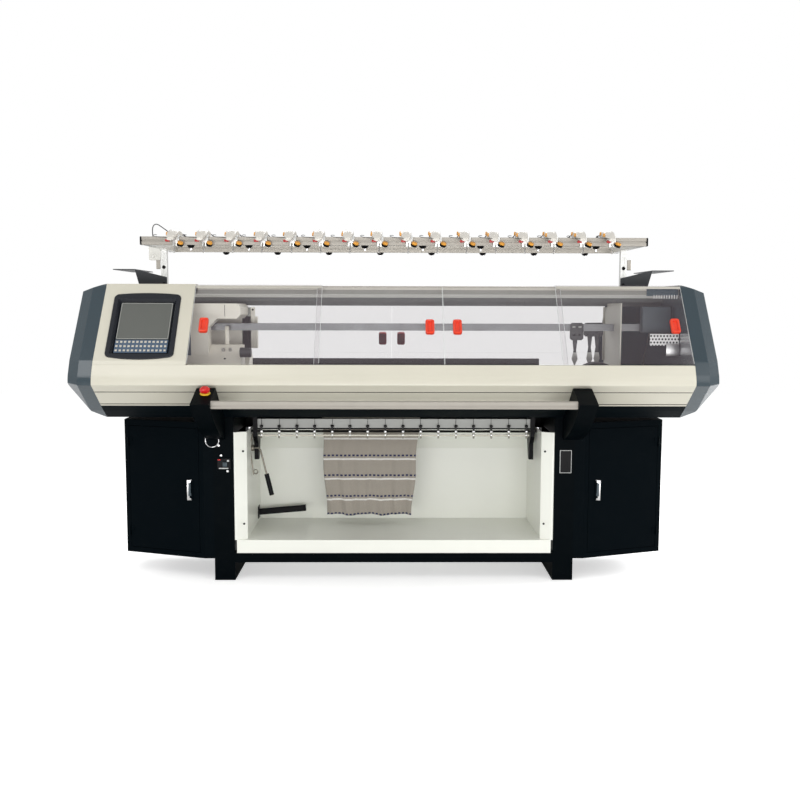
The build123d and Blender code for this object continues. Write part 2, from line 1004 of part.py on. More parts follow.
def side_plate():
    """Right upright that holds the yarn rails, with a rear flange."""
    plate = block(
        side_plate_x,
        side_plate_x + side_plate_wall,
        -side_plate_depth,
        side_plate_depth,
        head_floor_z + sheet_wall,
        side_plate_top_z,
    )
    plate += block(
        side_plate_x - side_plate_flange,
        side_plate_x,
        side_plate_depth - side_plate_wall,
        side_plate_depth,
        arch_under_z - side_flange_drop,
        side_plate_top_z,
    )
    plate -= block(
        side_plate_x - side_plate_flange - 1,
        side_plate_x + side_plate_wall + 1,
        rear_lip_y - sheet_wall,
        side_plate_depth + 1,
        rear_rail_under() - sheet_wall,
        side_plate_top_z + 1,
    )
    for y in (-yarn_rail_y, yarn_rail_y):
        plate -= block(
            side_plate_x - 1,
            side_plate_x + side_plate_wall + 1,
            y - yarn_rail_width / 2,
            y + yarn_rail_width / 2,
            yarn_rail_low_z,
            yarn_rail_high_z,
        )
    return plate


def left_side_plate():
    """Left upright; its flange turns outwards, clear of the parked carriage."""
    return Pos(-2 * side_plate_x - side_plate_wall, 0, 0) * side_plate()


def yarn_carrier(x, rail_y, side, lane_y, drop):
    """Yarn carrier hung on one face of a rail, with a finger down to the needle gap."""
    face = rail_y + side * (yarn_rail_width / 2 + carrier_gap)
    y_low = min(face, face + side * carrier_wall)
    y_high = max(face, face + side * carrier_wall)
    half = carrier_width / 2
    top = yarn_rail_high_z + 6
    low = yarn_rail_high_z - drop
    body = block(x - half, x + half, y_low, y_high, low, top)
    body = chamfer(body.edges().filter_by(Axis.Y), 8)
    hook_y = sorted((face + side * carrier_wall, rail_y))
    body += block(
        x - half + 10, x + half - 10, hook_y[0], hook_y[1], yarn_rail_high_z + 0.3, top
    )
    shelf_y = sorted((face, lane_y))
    body += block(
        x - finger_width, x + finger_width, shelf_y[0] - 2, shelf_y[1] + 1.5, low, low + 8
    )
    finger = Polyline(
        (x - finger_width, low + 4),
        (x + finger_width, low + 4),
        (x + finger_width * 0.5, low - 50),
        (x + finger_width * 1.2, finger_tip_z + 34),
        (x, finger_tip_z),
        (x - finger_width * 1.2, finger_tip_z + 34),
        (x - finger_width * 0.5, low - 50),
        close=True,
    )
    blade = extrude(Plane.XZ.offset(-lane_y - finger_wall / 2) * make_face(finger), amount=finger_wall)
    return body + blade


def drive_motor():
    """Motor in front of a round guard that encloses its pulley, on a foot in the pan."""
    disc = rod_y(guard_radius, guard_front_y, guard_back_y, pulley_x, pulley_z)
    disc -= rod_y(
        guard_radius - guard_wall, guard_front_y + guard_wall, guard_back_y + 1, pulley_x, pulley_z
    )
    disc -= block(
        pulley_x - 200, pulley_x + 200, guard_front_y - 1, guard_back_y + 1, 700, guard_foot_z
    )
    motor = sided_rod_y(motor_radius, 24, motor_front_y, guard_front_y, pulley_x, pulley_z)
    spindle = sided_rod_y(pulley_radius, 24, guard_front_y, guard_back_y - 10, pulley_x, pulley_z)
    foot = block(
        pulley_x - 90,
        pulley_x + 90,
        guard_back_y - guard_wall,
        guard_back_y,
        guard_base_z,
        guard_foot_z + 8,
    )
    mouth = block(
        pulley_x - 2 * guard_radius,
        pulley_x - pulley_radius,
        belt_front_y - 4,
        belt_front_y + belt_width + 4,
        pulley_z - pulley_radius - 8,
        pulley_z + pulley_radius + 8,
    )
    return disc - mouth + motor + spindle + foot


def drive_belt():
    """Flat belt looped between the motor pulley and the far idler end."""
    run = pulley_x - belt_left_x
    centre_x = (pulley_x + belt_left_x) / 2
    radius = pulley_radius + 0.3
    outer = SlotCenterToCenter(run, 2 * (radius + belt_wall))
    inner = SlotCenterToCenter(run, 2 * radius)
    loop = extrude(Plane.XZ * Pos(centre_x, pulley_z, 0) * (outer - inner), amount=belt_width)
    return Pos(0, belt_front_y + belt_width, 0) * loop


def takedown_frame():
    """Cover strip between two hanging arms that carry the take-down roller and shaft."""
    strip_half = arm_inner_x + 2
    frame = block(-strip_half, strip_half, strip_y - strip_wall, strip_y, strip_low_z, strip_high_z)
    top = head_floor_z + sheet_wall
    for side in (-1, 1):
        x_low = min(side * arm_inner_x, side * (arm_inner_x + arm_width))
        arm = Polyline(
            (arm_front_y, press_z - 24),
            (arm_front_y, top),
            (arm_back_y, top),
            (arm_back_y, roller_z - 40),
            (-10, arm_bottom_z),
            (arm_toe_y, arm_bottom_z),
            (arm_toe_y, arm_bottom_z + 76),
            close=True,
        )
        frame += extrude(Plane.YZ.offset(x_low) * make_face(arm), amount=arm_width)
    length = liner_inner_x
    frame -= rod_x(roller_shaft + running_gap, -length, length, roller_y, roller_z)
    frame -= rod_x(press_radius + running_gap, -length, length, press_y, press_z)
    return frame


def takedown_roller():
    """Rubber roller on its shaft."""
    roller = rod_x(roller_radius, -arm_inner_x + 4, arm_inner_x - 4, roller_y, roller_z)
    shaft_end = arm_inner_x + arm_width + 4
    return roller + rod_x(roller_shaft, -shaft_end, shaft_end, roller_y, roller_z)


def press_levers():
    """Shaft with sixteen press levers and the tie rod through their lower ends."""
    shaft_end = liner_inner_x - 1
    tie_end = arm_inner_x - 6
    shaft = Plane.YZ.offset(-tie_end) * Pos(press_y, press_z, 0) * RegularPolygon(press_radius + 1, 6)
    levers = extrude(shaft, amount=2 * tie_end)
    for side in (-1, 1):
        journal_ends = sorted((side * (tie_end - 2), side * shaft_end))
        levers += rod_x(press_radius, journal_ends[0], journal_ends[1], press_y, press_z)
    tie_y = press_y - 7
    tie_z = press_z - 18
    levers += block(
        -tie_end, tie_end, tie_y - tie_half, tie_y + tie_half, tie_z - tie_half, tie_z + tie_half
    )
    profile = Polyline(
        (press_y - 13, press_z + 26),
        (press_y - 5, press_z + 30),
        (press_y + 7, press_z + 8),
        (press_y + 7, press_z - 8),
        (press_y - 2, press_z - 20),
        (press_y - 8, press_z - 32),
        (press_y - 14, press_z - 28),
        (press_y - 10, press_z - 6),
        close=True,
    )
    lever = extrude(Plane.YZ * make_face(profile), amount=lever_width / 2, both=True)
    reach = arm_inner_x - 12
    for index in range(lever_count):
        x = lever_pitch * (index - (lever_count - 1) / 2)
        if abs(x) < reach:
            levers += Pos(x, 0, 0) * lever
    return levers


def release_lever():
    """Bent release handle on a pivot boss at the left wall, with a sleeve grip."""
    start = (-liner_inner_x + 4, release_y, release_z)
    path = Polyline(
        start,
        (-liner_inner_x + 34, release_y, release_z),
        (-liner_inner_x + 43, release_y - 3, release_z - 12),
        (-liner_inner_x + 72, release_y - 18, release_z - 122),
    )
    ring = Plane(origin=start, z_dir=(1, 0, 0)) * RegularPolygon(release_radius, 8)
    rod = sweep(ring, path=path, transition=Transition.RIGHT)
    low = Vector(-liner_inner_x + 72, release_y - 18, release_z - 122)
    bend = Vector(-liner_inner_x + 43, release_y - 3, release_z - 12)
    along = (low - bend).normalized()
    grip_end = Plane(origin=low - along * 4, z_dir=along) * RegularPolygon(grip_radius, 12)
    grip = extrude(grip_end, amount=grip_length)
    boss = rod_x(
        release_boss + 8, -liner_inner_x + 0.3, -liner_inner_x + 12, release_y, release_z
    )
    pin = rod_x(
        release_boss, -liner_inner_x - liner_wall, -liner_inner_x + 6, release_y, release_z
    )
    return rod + grip + boss + pin


def cloth_tray():
    """Folded tray: front lip, shelf, rear panel and its forward-leaning top."""
    shelf_points = [
        (-frame_half_depth + 1, lower_beam_top),
        (-frame_half_depth + 1, tray_z),
        (tray_back_y, tray_z),
    ]
    shelf = sheet_along_x(
        shelf_points, liner_wall, -tray_half_x, tray_half_x, side=Side.RIGHT
    )
    panel_points = [
        (tray_back_y, tray_z - liner_wall),
        (tray_back_y, panel_bend_z),
        (panel_top_y, panel_top_z),
    ]
    inner = liner_inner_x
    panel = sheet_along_x(panel_points, liner_wall, -inner, inner, side=Side.RIGHT)
    return shelf + panel


def side_liner():
    """Left liner: side wall, flared front and a narrow return against the leg."""
    inner = -liner_inner_x
    flare = -liner_flare_x
    front = -frame_half_depth + 2
    points = [
        (-leg_inner_x, front),
        (flare, front),
        (inner, liner_flare_y),
        (inner, tray_back_y),
    ]
    line = FilletPolyline(*points, radius=2.0)
    band = make_face(offset(line, amount=liner_wall, side=Side.LEFT))
    wall = extrude(Plane.XY.offset(tray_z) * band, amount=liner_top_z - tray_z)
    return wall


def left_liner():
    """Left liner with the pivot hole of the release handle."""
    hole = rod_x(
        release_boss + running_gap, -liner_inner_x - 9, -liner_inner_x + 9, release_y, release_z
    )
    return side_liner() - hole


def feeler_bar():
    """Black bar that slopes up a little from its foot on the left liner."""
    start = -liner_inner_x
    rise = feeler_length / 2 * math.sin(math.radians(feeler_tilt))
    bar = Box(
        feeler_length, feeler_depth, feeler_height, align=(Align.MIN, Align.CENTER, Align.CENTER)
    )
    bar = chamfer(bar.edges().filter_by(Axis.X), 5)
    bar = Pos(start, feeler_y, feeler_z - rise) * Rot(0, -feeler_tilt, 0) * bar
    bar -= block(start - 20, start, feeler_y - 50, feeler_y + 50, feeler_z - 100, feeler_z + 100)
    foot = block(
        start,
        start + feeler_foot,
        feeler_y - feeler_depth,
        feeler_y + feeler_depth,
        feeler_z - rise - feeler_height,
        feeler_z - rise + feeler_height,
    )
    return bar + foot


def fabric():
    """Knitted panel hanging from the roller: a thin sheet whose folds open towards the hem."""
    y_plane = roller_y - roller_radius - flange_gap - fabric_wall

    def strip(level, left, right, depth):
        """Closed band at one height: a row of folds of the given depth."""
        count = 4 * fabric_folds
        centre = y_plane - depth / 2
        rim = []
        for index in range(count + 1):
            share = index / count
            wave = math.cos(2 * math.pi * fabric_folds * share + 0.6)
            x = left + (right - left) * share
            rim.append((x, centre + depth / 2 * wave, level))
        back = [(x, y + fabric_wall, z) for x, y, z in reversed(rim)]
        return make_face(Polyline(*rim, *back, close=True))

    top = strip(fabric_top_z, fabric_left_x, fabric_right_x, 0.5)
    bottom = strip(
        fabric_bottom_z, fabric_left_x + fabric_taper, fabric_right_x - 1.6 * fabric_taper, fabric_fold
    )
    above = extrude(top, amount=fabric_gap_z - fabric_top_z)
    return loft([top, bottom], ruled=True) + above


# Angled cabinet front: u runs outwards along the face, n points out of it
face_run = cabinet_outer_x - cabinet_corner_x
face_back = cabinet_outer_y - cabinet_front_y
face_length = math.hypot(face_run, face_back)
door_plane = Plane(
    origin=(-cabinet_corner_x, cabinet_front_y, 0),
    x_dir=(-face_run, face_back, 0),
    z_dir=(0, 0, 1),
)


def on_door(u_low, u_high, out_low, out_high, z_low, z_high):
    """A box on the angled front of the left cabinet; out is measured from its face."""
    centre = Pos((u_low + u_high) / 2, (out_low + out_high) / 2, (z_low + z_high) / 2)
    return door_plane * centre * Box(u_high - u_low, out_high - out_low, z_high - z_low)


def cabinet_plan(wall):
    """Plan of the left cabinet, shrunk inwards by a wall."""
    plan = make_face(
        Polyline(
            (-leg_inner_x - leg_width, cabinet_front_y),
            (-cabinet_corner_x, cabinet_front_y),
            (-cabinet_outer_x, cabinet_outer_y),
            (-cabinet_outer_x, cabinet_back_y),
            (-leg_inner_x - leg_width, cabinet_back_y),
            close=True,
        )
    )
    return offset(plan, amount=-wall, kind=Kind.INTERSECTION) if wall else plan


def knuckle(z_low, z_high):
    """One eight-sided barrel of a door hinge."""
    barrel = extrude(
        Plane.XY.offset(z_low) * RegularPolygon(hinge_radius, 8), amount=z_high - z_low
    )
    return door_plane * Pos(face_length - hinge_from_corner, hinge_out, 0) * barrel


def fixed_hinges():
    """Cabinet half of each lift-off hinge: a barrel with a pin, on a tab."""
    hinges = []
    edge = face_length - hinge_from_corner
    for z in hinge_heights:
        pin = Cylinder(
            hinge_pin, 1.8 * knuckle_height, align=(Align.CENTER, Align.CENTER, Align.MIN)
        )
        pin = door_plane * Pos(edge, hinge_out, z - knuckle_height + 2) * pin
        hinge = knuckle(z - knuckle_height, z) + pin
        hinge += on_door(edge, edge + 14, -0.5, hinge_radius / 2, z - knuckle_height, z)
        hinges.append(hinge)
    return hinges


def door_hinges():
    """Door half of each hinge: a bored barrel that stands on the fixed one, with its leaf."""
    hinges = []
    edge = face_length - hinge_from_corner
    for z in hinge_heights:
        low = z + running_gap
        high = z + knuckle_height
        barrel = knuckle(low, high)
        barrel += on_door(edge - 22, edge - 6, -0.5, hinge_radius / 2, low, high)
        barrel += on_door(edge - 7, edge, hinge_lift, hinge_radius / 2, low, high)
        bore = Cylinder(hinge_pin + running_gap, 3 * knuckle_height)
        hinges.append(barrel - door_plane * Pos(edge, hinge_out, z) * bore)
    return hinges


def cabinet():
    """Left cabinet shell with a door opening in its angled front."""
    height = cabinet_high_z - cabinet_low_z
    shell = extrude(Plane.XY.offset(cabinet_low_z) * cabinet_plan(0), amount=height)
    hollow = extrude(
        Plane.XY.offset(cabinet_low_z + cabinet_wall) * cabinet_plan(cabinet_wall),
        amount=height - 2 * cabinet_wall,
    )
    opening = on_door(
        door_margin - door_gap,
        face_length - door_margin + door_gap,
        -20,
        20,
        door_low_z - door_gap,
        door_high_z + door_gap,
    )
    strip = on_door(
        door_margin - 10, door_margin + 14, -cabinet_wall - 2, -cabinet_wall + 1, door_low_z, door_high_z
    )
    ledge = strip - on_door(door_margin - 2, door_margin + 20, -cabinet_wall - 0.2, 5, 0, 900)
    return shell - hollow - opening + ledge + fixed_hinges()


def door():
    """Left door with its lift lock, flush in the cabinet front."""
    high = face_length - door_margin
    leaf = on_door(door_margin, high, -door_wall, 0, door_low_z, door_high_z)
    middle = door_margin + lock_from_edge
    plate = on_door(
        middle - lock_width / 2, middle + lock_width / 2, -0.5, 3, lock_low_z, lock_high_z
    )
    lever = on_door(
        middle - lock_width / 4, middle + lock_width / 4, 2, 6, lock_low_z + 30, lock_high_z - 10
    )
    barrel = on_door(middle - 5, middle + 5, 2, 7, lock_low_z + 8, lock_low_z + 20)
    return leaf + plate + lever + barrel + door_hinges()


def bar_bracket(x_low):
    """Gooseneck bracket from the leg up to the belly of the cover, holed for the bar's pin."""
    leg_y = -frame_half_depth
    outline = Line((bracket_back_y, bracket_back_z), (bracket_nose_y, bracket_nose_z))
    outline += ThreePointArc(
        (bracket_nose_y, bracket_nose_z), (bracket_waist_y, bracket_waist_z), (leg_y, bracket_foot_z)
    )
    outline += Polyline(
        (leg_y, bracket_foot_z),
        (leg_y, head_floor_z - bracket_clear),
        under_point(0.98, -bracket_clear),
        under_point(0.29, -belly_clear),
        under_point(0.075, -belly_clear),
        (bracket_back_y, bracket_back_z),
    )
    bracket = extrude(Plane.YZ.offset(x_low) * make_face(outline), amount=bracket_width)
    side = 1 if x_low < 0 else -1
    face_x = side * -bracket_inner_x
    hole_end = face_x - side * (pin_length + 2)
    hole = rod_x(pin_radius + pin_clear, min(face_x, hole_end), max(face_x, hole_end), bar_y, bar_z)
    return bracket - hole


# Top face of a bracket: local x along the machine, y down the face, z out of it
bracket_run = bracket_back_y - bracket_nose_y
bracket_fall = bracket_back_z - bracket_nose_z
bracket_plane = Plane(
    origin=(0, bracket_back_y, bracket_back_z),
    x_dir=(-1, 0, 0),
    z_dir=(0, -bracket_fall, bracket_run),
)


def left_bar_bracket():
    """Left bracket, bored for the stop button."""
    bracket = bar_bracket(-bracket_inner_x - bracket_width)
    bore = bracket_plane * Pos(-button_x, button_slope, 0)
    bore = bore * Cylinder(button_stem + running_gap, 2 * (button_stem_length - button_lift + 8))
    return bracket - bore


def stop_button():
    """Mushroom head on its stem, raised off the bracket by its travel."""
    head = extrude(RegularPolygon(button_radius, button_sides), amount=button_height)
    rim = head.faces().sort_by(Axis.Z)[-1].edges()
    head = chamfer(rim, button_height * 0.4, button_height * 0.4)
    stem = Cylinder(button_stem, button_stem_length, align=(Align.CENTER, Align.CENTER, Align.MAX))
    button = Pos(0, 0, button_lift) * head + Pos(0, 0, button_lift + 1) * stem
    return bracket_plane * Pos(-button_x, button_slope, 0) * button


def start_bar():
    """Extruded start bar with a groove along its face, on a pin at each end."""
    half = bracket_inner_x - bar_gap
    bar = block(
        -half,
        half,
        bar_y - bar_depth / 2,
        bar_y + bar_depth / 2,
        bar_z - bar_height / 2,
        bar_z + bar_height / 2,
    )
    bar = fillet(bar.edges().filter_by(Axis.X), 6)
    bar -= block(
        -half - 1, half + 1, bar_y - bar_depth, bar_y - bar_depth / 2 + 3, bar_z - 6, bar_z - 2
    )
    pin_end = bracket_inner_x + pin_length
    return bar + rod_x(pin_radius, -pin_end, pin_end, bar_y, bar_z)


def rack_beam(y):
    """Slotted extrusion of the yarn rack."""
    half = beam_half_length
    beam = block(
        -half, half, y - beam_depth / 2, y + beam_depth / 2, beam_low_z, beam_low_z + beam_height
    )
    middle = beam_low_z + beam_height / 2
    slot = beam_slot / 2
    for side in (-1, 1):
        face_y = y + side * beam_depth / 2
        beam -= block(-half - 1, half + 1, face_y - 6, face_y + 6, middle - slot, middle + slot)
    return beam


def left_post():
    """Post on the rear roof rail with the cross arm that joins the two beams."""
    foot = flange_under(inner_track) - flange_gap
    half = post_size / 2
    post = block(
        -post_x - half, -post_x + half, post_y - half, post_y + half, foot, beam_low_z
    )
    arm_front = front_beam_y + beam_depth / 2
    arm_back = rear_beam_y - beam_depth / 2
    post += block(
        -post_x - half, -post_x + half, arm_front, arm_back, beam_low_z, beam_low_z + arm_height
    )
    post -= block(
        -post_x - 4, -post_x + 4, post_y - half - 1, post_y - half + 5, foot - 1, beam_low_z - 30
    )
    return post


def tension_unit():
    """One top tension unit: smooth body with a low nose, clamp round the beam, and a disc."""
    front = front_beam_y - beam_depth / 2
    back = front_beam_y + beam_depth / 2
    crown = unit_crown_z
    outline = Polyline(
        (front - 2, unit_floor_z),
        (front - 2, unit_nose_z),
        (unit_front_y + 20, unit_nose_z),
        (unit_front_y, unit_nose_z + 11),
        (unit_front_y + 5, unit_nose_z + 27),
        (unit_front_y + 32, crown - 8),
        (front - 2, crown),
        (back, crown),
        (unit_back_y - 14, crown - 10),
        (unit_back_y, crown - 22),
        (unit_back_y - 2, unit_floor_z),
        close=True,
    )
    half = unit_width / 2
    body = extrude(Plane.YZ * make_face(outline), amount=half, both=True)
    plan = Polyline(
        (-half, unit_back_y + 1),
        (-half, front),
        (-half * unit_nose_share, unit_front_y - 1),
        (half * unit_nose_share, unit_front_y - 1),
        (half, front),
        (half, unit_back_y + 1),
        close=True,
    )
    body = body & extrude(Plane.XY.offset(unit_nose_z - 1) * make_face(plan), amount=crown)
    top = beam_low_z + beam_height
    clamp = block(-half + 8, half - 8, front - 10, back + 8, top, unit_floor_z + 4)
    clamp += block(-half + 8, half - 8, front - 10, front, beam_low_z - 8, unit_floor_z + 4)
    disc_plane = Plane.XZ.offset(8 - front) * Pos(disc_offset, beam_low_z + 8, 0)
    disc = extrude(disc_plane * RegularPolygon(disc_radius, disc_sides), amount=28)
    return body + clamp + disc


def tension_units():
    """Sixteen tension units along the front beam."""
    units = []
    for index in range(unit_count):
        x = unit_pitch * (index - (unit_count - 1) / 2)
        units.append(Pos(x, 0, 0) * tension_unit())
    return Compound(children=units)


def yarn_shelf():
    """Left yarn shelf: upright web beside the post and a flat top running to the rear."""
    foot = flange_under(inner_track) - flange_gap
    front = post_y - post_size / 2
    web = Polyline(
        (-post_x + post_size / 2, foot),
        (-post_x + post_size / 2, shelf_web_z),
        (-shelf_bend_x, shelf_z),
        (-shelf_bend_x + shelf_web_taper, foot),
        close=True,
    )
    shelf = extrude(Plane.XZ.offset(-front) * make_face(web), amount=shelf_wall)
    shelf += block(
        -shelf_outer_x, -shelf_bend_x + 1, front - shelf_wall, shelf_back_y, shelf_z - shelf_wall, shelf_z
    )
    return shelf


def rack_box():
    """Junction box under the left end of the rack, on the outer side of the post."""
    outer = -post_x - post_size / 2
    box = block(
        outer - box_width,
        outer,
        post_y - box_depth / 2,
        post_y + box_depth / 2,
        beam_low_z - box_height + 22,
        beam_low_z + 22,
    )
    return fillet(box.edges().filter_by(Axis.Y), 4)


def breaker_panel():
    """Main breaker let into the front of the left leg, with its toggle."""
    front = -frame_half_depth
    half_x = breaker_width / 2
    half_z = breaker_height / 2
    panel = block(
        breaker_x - half_x,
        breaker_x + half_x,
        front - breaker_proud,
        front,
        breaker_z - half_z,
        breaker_z + half_z,
    )
    toggle = block(
        breaker_x - 5, breaker_x + 5, front - breaker_proud - 10, front, breaker_z - 6, breaker_z + 8
    )
    return panel + toggle


pieces = {
    "leg_frame": leg_frame(),
    "head_pan": head_pan(),
    "front_cover": front_cover(),
    "console_cover": console_cover(),
    "console_bezel": console_bezel(),
    "console_screen": console_screen(),
    "console_keypad": console_keypad(),
    "left_end_cap": end_cap(),
    "right_end_cap": to_right(end_cap()),
    "rear_cover": rear_cover(),
    "window_1": front_window(window_one, outer_track, outer_flange_depth, handle_one_x),
    "window_2": front_window(window_two, inner_track, inner_flange_depth, handle_two_x),
    "window_3": front_window(window_three, inner_track, inner_flange_depth, handle_three_x),
    "window_4": front_window(window_four, outer_track, outer_flange_depth, handle_four_x),
    "rear_window_left": rear_window(rear_window_left, rear_handle_left_x),
    "rear_window_right": rear_window(rear_window_right, rear_handle_right_x),
    "front_top_rail": top_rail(rail_inner_y, rail_height),
    "rear_top_rail": rear_rail(),
    "front_guide_rail": guide_rail(),
    "rear_guide_rail": to_rear(guide_rail()),
    "bed_base": bed_base(),
    "front_needle_bed": needle_bed(0.0),
    "rear_needle_bed": to_rear(needle_bed(running_gap)),
    "front_yarn_rail": yarn_rail(-yarn_rail_y),
    "rear_yarn_rail": yarn_rail(yarn_rail_y),
    "left_side_plate": left_side_plate(),
    "right_side_plate": side_plate(),
    "carriage_arch": carriage_arch(),
    "front_cam_box": front_cam_box(),
    "yarn_carrier_1": yarn_carrier(carrier_one_x, -yarn_rail_y, -1, outer_lane_y, outer_carrier_drop),
    "yarn_carrier_2": yarn_carrier(carrier_two_x, -yarn_rail_y, 1, -inner_lane_y, inner_carrier_drop),
    "yarn_carrier_3": yarn_carrier(carrier_three_x, yarn_rail_y, -1, inner_lane_y, inner_carrier_drop),
    "drive_motor": drive_motor(),
    "drive_belt": drive_belt(),
    "takedown_frame": takedown_frame(),
    "takedown_roller": takedown_roller(),
    "press_levers": press_levers(),
    "release_lever": release_lever(),
    "cloth_tray": cloth_tray(),
    "left_liner": left_liner(),
    "right_liner": to_right(side_liner()),
    "feeler_bar": feeler_bar(),
    "fabric": fabric(),
    "left_cabinet": cabinet(),
    "right_cabinet": to_right(cabinet()),
    "left_door": door(),
    "right_door": to_right(door()),
    "left_bar_bracket": left_bar_bracket(),
    "right_bar_bracket": bar_bracket(bracket_inner_x),
    "stop_button": stop_button(),
    "start_bar": start_bar(),
    "rack_front_beam": rack_beam(front_beam_y),
    "rack_rear_beam": rack_beam(rear_beam_y),
    "left_post": left_post(),
    "right_post": to_right(left_post()),
    "tension_units": tension_units(),
    "left_yarn_shelf": yarn_shelf(),
    "right_yarn_shelf": to_right(yarn_shelf()),
    "rack_box": rack_box(),
    "breaker_panel": breaker_panel(),
}

for name, shape in pieces.items():
    save(name, shape)
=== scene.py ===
"""Looks of the flat knitting machine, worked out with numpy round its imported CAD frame. Metres."""

import math

import bmesh
import bpy
import numpy as np
from mathutils import Matrix, Vector


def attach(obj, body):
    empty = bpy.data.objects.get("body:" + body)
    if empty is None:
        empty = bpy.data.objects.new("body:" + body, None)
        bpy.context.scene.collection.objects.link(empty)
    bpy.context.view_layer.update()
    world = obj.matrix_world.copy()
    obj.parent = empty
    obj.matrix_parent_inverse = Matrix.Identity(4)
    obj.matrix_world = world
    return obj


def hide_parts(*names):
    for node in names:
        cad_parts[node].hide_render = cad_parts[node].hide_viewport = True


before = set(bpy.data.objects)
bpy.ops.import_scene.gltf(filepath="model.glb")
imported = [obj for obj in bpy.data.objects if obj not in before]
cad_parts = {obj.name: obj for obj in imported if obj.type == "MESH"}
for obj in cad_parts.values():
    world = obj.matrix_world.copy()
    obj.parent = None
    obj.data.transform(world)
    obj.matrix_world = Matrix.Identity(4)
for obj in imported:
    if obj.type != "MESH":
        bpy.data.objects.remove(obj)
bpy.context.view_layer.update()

# Shared places. Y_SHIFT brings a depth counted from the needle gap into the row frame.
# The window slope starts at the roof's edge; UP climbs it and OUT leaves it.
Y_SHIFT = 0.0735
ROOF_Y = -0.179 + Y_SHIFT
ROOF_Z = 1.336
SLOPE_UP = np.array([0.0, 0.5829, 0.8126])
SLOPE_OUT = np.array([0.0, -0.8126, 0.5829])
TO_FRONT = (0, -1, 0)


# ---------------------------------------------------------------- mesh helpers


def grid_faces(rows, columns, close_rows=False, close_columns=False):
    """Quads between neighbours of a grid of points; a closed direction joins last to first."""
    row = np.arange(rows if close_rows else rows - 1)
    column = np.arange(columns if close_columns else columns - 1)
    r, c = np.meshgrid(row, column, indexing="ij")
    r_next = (r + 1) % rows
    c_next = (c + 1) % columns
    quads = [r * columns + c, r * columns + c_next, r_next * columns + c_next,
             r_next * columns + c]
    return np.stack(quads, axis=-1).reshape(-1, 4)


def surface(points, close_rows=False, close_columns=False):
    """A grid of points (rows, columns, 3) as (vertices, quads)."""
    rows, columns = points.shape[:2]
    return points.reshape(-1, 3), grid_faces(rows, columns, close_rows, close_columns)


def capped(rings):
    """Closed skin over a stack of rings: each end ring is fanned to its centre."""
    first = np.repeat(rings[:1].mean(axis=1, keepdims=True), rings.shape[1], axis=1)
    last = np.repeat(rings[-1:].mean(axis=1, keepdims=True), rings.shape[1], axis=1)
    return surface(np.concatenate([first, rings, last]), close_columns=True)


def joined(parts):
    """Several (vertices, quads) pairs as one pair."""
    counts = np.cumsum([0] + [len(v) for v, _ in parts[:-1]])
    vertices = np.concatenate([v for v, _ in parts])
    quads = np.concatenate([q + n for (_, q), n in zip(parts, counts)])
    return vertices, quads


def repeated(part, offsets):
    """One (vertices, quads) pair copied to every offset of an (n, 3) array."""
    vertices, quads = part
    offsets = np.asarray(offsets, float)
    count = len(vertices)
    moved = (vertices[None] + offsets[:, None]).reshape(-1, 3)
    faces = (quads[None] + count * np.arange(len(offsets))[:, None, None]).reshape(-1, 4)
    return moved, faces


def piece(name, part, body, material, sharp=35.0, uv=None):
    """Makes a mesh object of a (vertices, quads) pair that rides on a CAD body."""
    vertices, quads = part
    mesh = bpy.data.meshes.new(name)
    mesh.vertices.add(len(vertices))
    mesh.vertices.foreach_set("co", np.asarray(vertices, np.float32).ravel())
    mesh.loops.add(quads.size)
    mesh.loops.foreach_set("vertex_index", quads.astype(np.int32).ravel())
    mesh.polygons.add(len(quads))
    mesh.polygons.foreach_set("loop_start", np.arange(0, quads.size, 4, dtype=np.int32))
    mesh.polygons.foreach_set("loop_total", np.full(len(quads), 4, np.int32))
    mesh.update(calc_edges=True)
    if uv is not None:
        layer = mesh.uv_layers.new(name="UVMap")
        layer.data.foreach_set("uv", np.asarray(uv, np.float32)[quads.ravel()].ravel())
    shape = bmesh.new()
    shape.from_mesh(mesh)
    bmesh.ops.remove_doubles(shape, verts=shape.verts, dist=1e-6)
    bmesh.ops.dissolve_degenerate(shape, edges=shape.edges, dist=1e-7)
    bmesh.ops.recalc_face_normals(shape, faces=shape.faces)
    shape.to_mesh(mesh)
    shape.free()
    mesh.polygons.foreach_set("use_smooth", np.ones(len(mesh.polygons), bool))
    mesh.set_sharp_from_angle(angle=math.radians(sharp))
    mesh.materials.append(material)
    thing = bpy.data.objects.new(name, mesh)
    bpy.context.scene.collection.objects.link(thing)
    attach(thing, body)
    return thing


def fixed(name, part, material, sharp=35.0):
    """A piece that rides on the machine's own body."""
    return piece(name, part, "machine", material, sharp)


# ---------------------------------------------------------------- shapes


# Vectors that no tube and no turned axis runs along: the round sections start square to them.
TUBE_START = (0.3, 0.2, 0.93)
TURN_START = (0.31, 0.17, 0.94)


def corner_turns(steps):
    """Angles of a quarter circle and of all four, and the side on which each one's corner lies."""
    quarter = np.linspace(0, np.pi / 2, steps + 1)
    turn = np.concatenate([quarter + k * np.pi / 2 for k in range(4)])
    east = np.repeat([1, -1, -1, 1], steps + 1)
    north = np.repeat([1, 1, -1, -1], steps + 1)
    return quarter, turn, east, north


def rounded_block(centre, size, radius, steps=3):
    """Box with round edges: each sphere direction, pushed out to the box corner on its side."""
    half = np.asarray(size, float) / 2 - radius
    quarter, turn, east, north = corner_turns(steps)
    tilt = np.concatenate([quarter - np.pi / 2, quarter])
    up = np.repeat([-1, 1], steps + 1)
    a, t = np.meshgrid(turn, tilt)
    corner_x = np.broadcast_to(east, a.shape) * half[0]
    corner_y = np.broadcast_to(north, a.shape) * half[1]
    corner_z = np.broadcast_to(up[:, None], a.shape) * half[2]
    x = corner_x + radius * np.cos(t) * np.cos(a)
    y = corner_y + radius * np.cos(t) * np.sin(a)
    z = corner_z + radius * np.sin(t)
    return capped(np.stack([x, y, z], axis=-1) + np.asarray(centre, float))


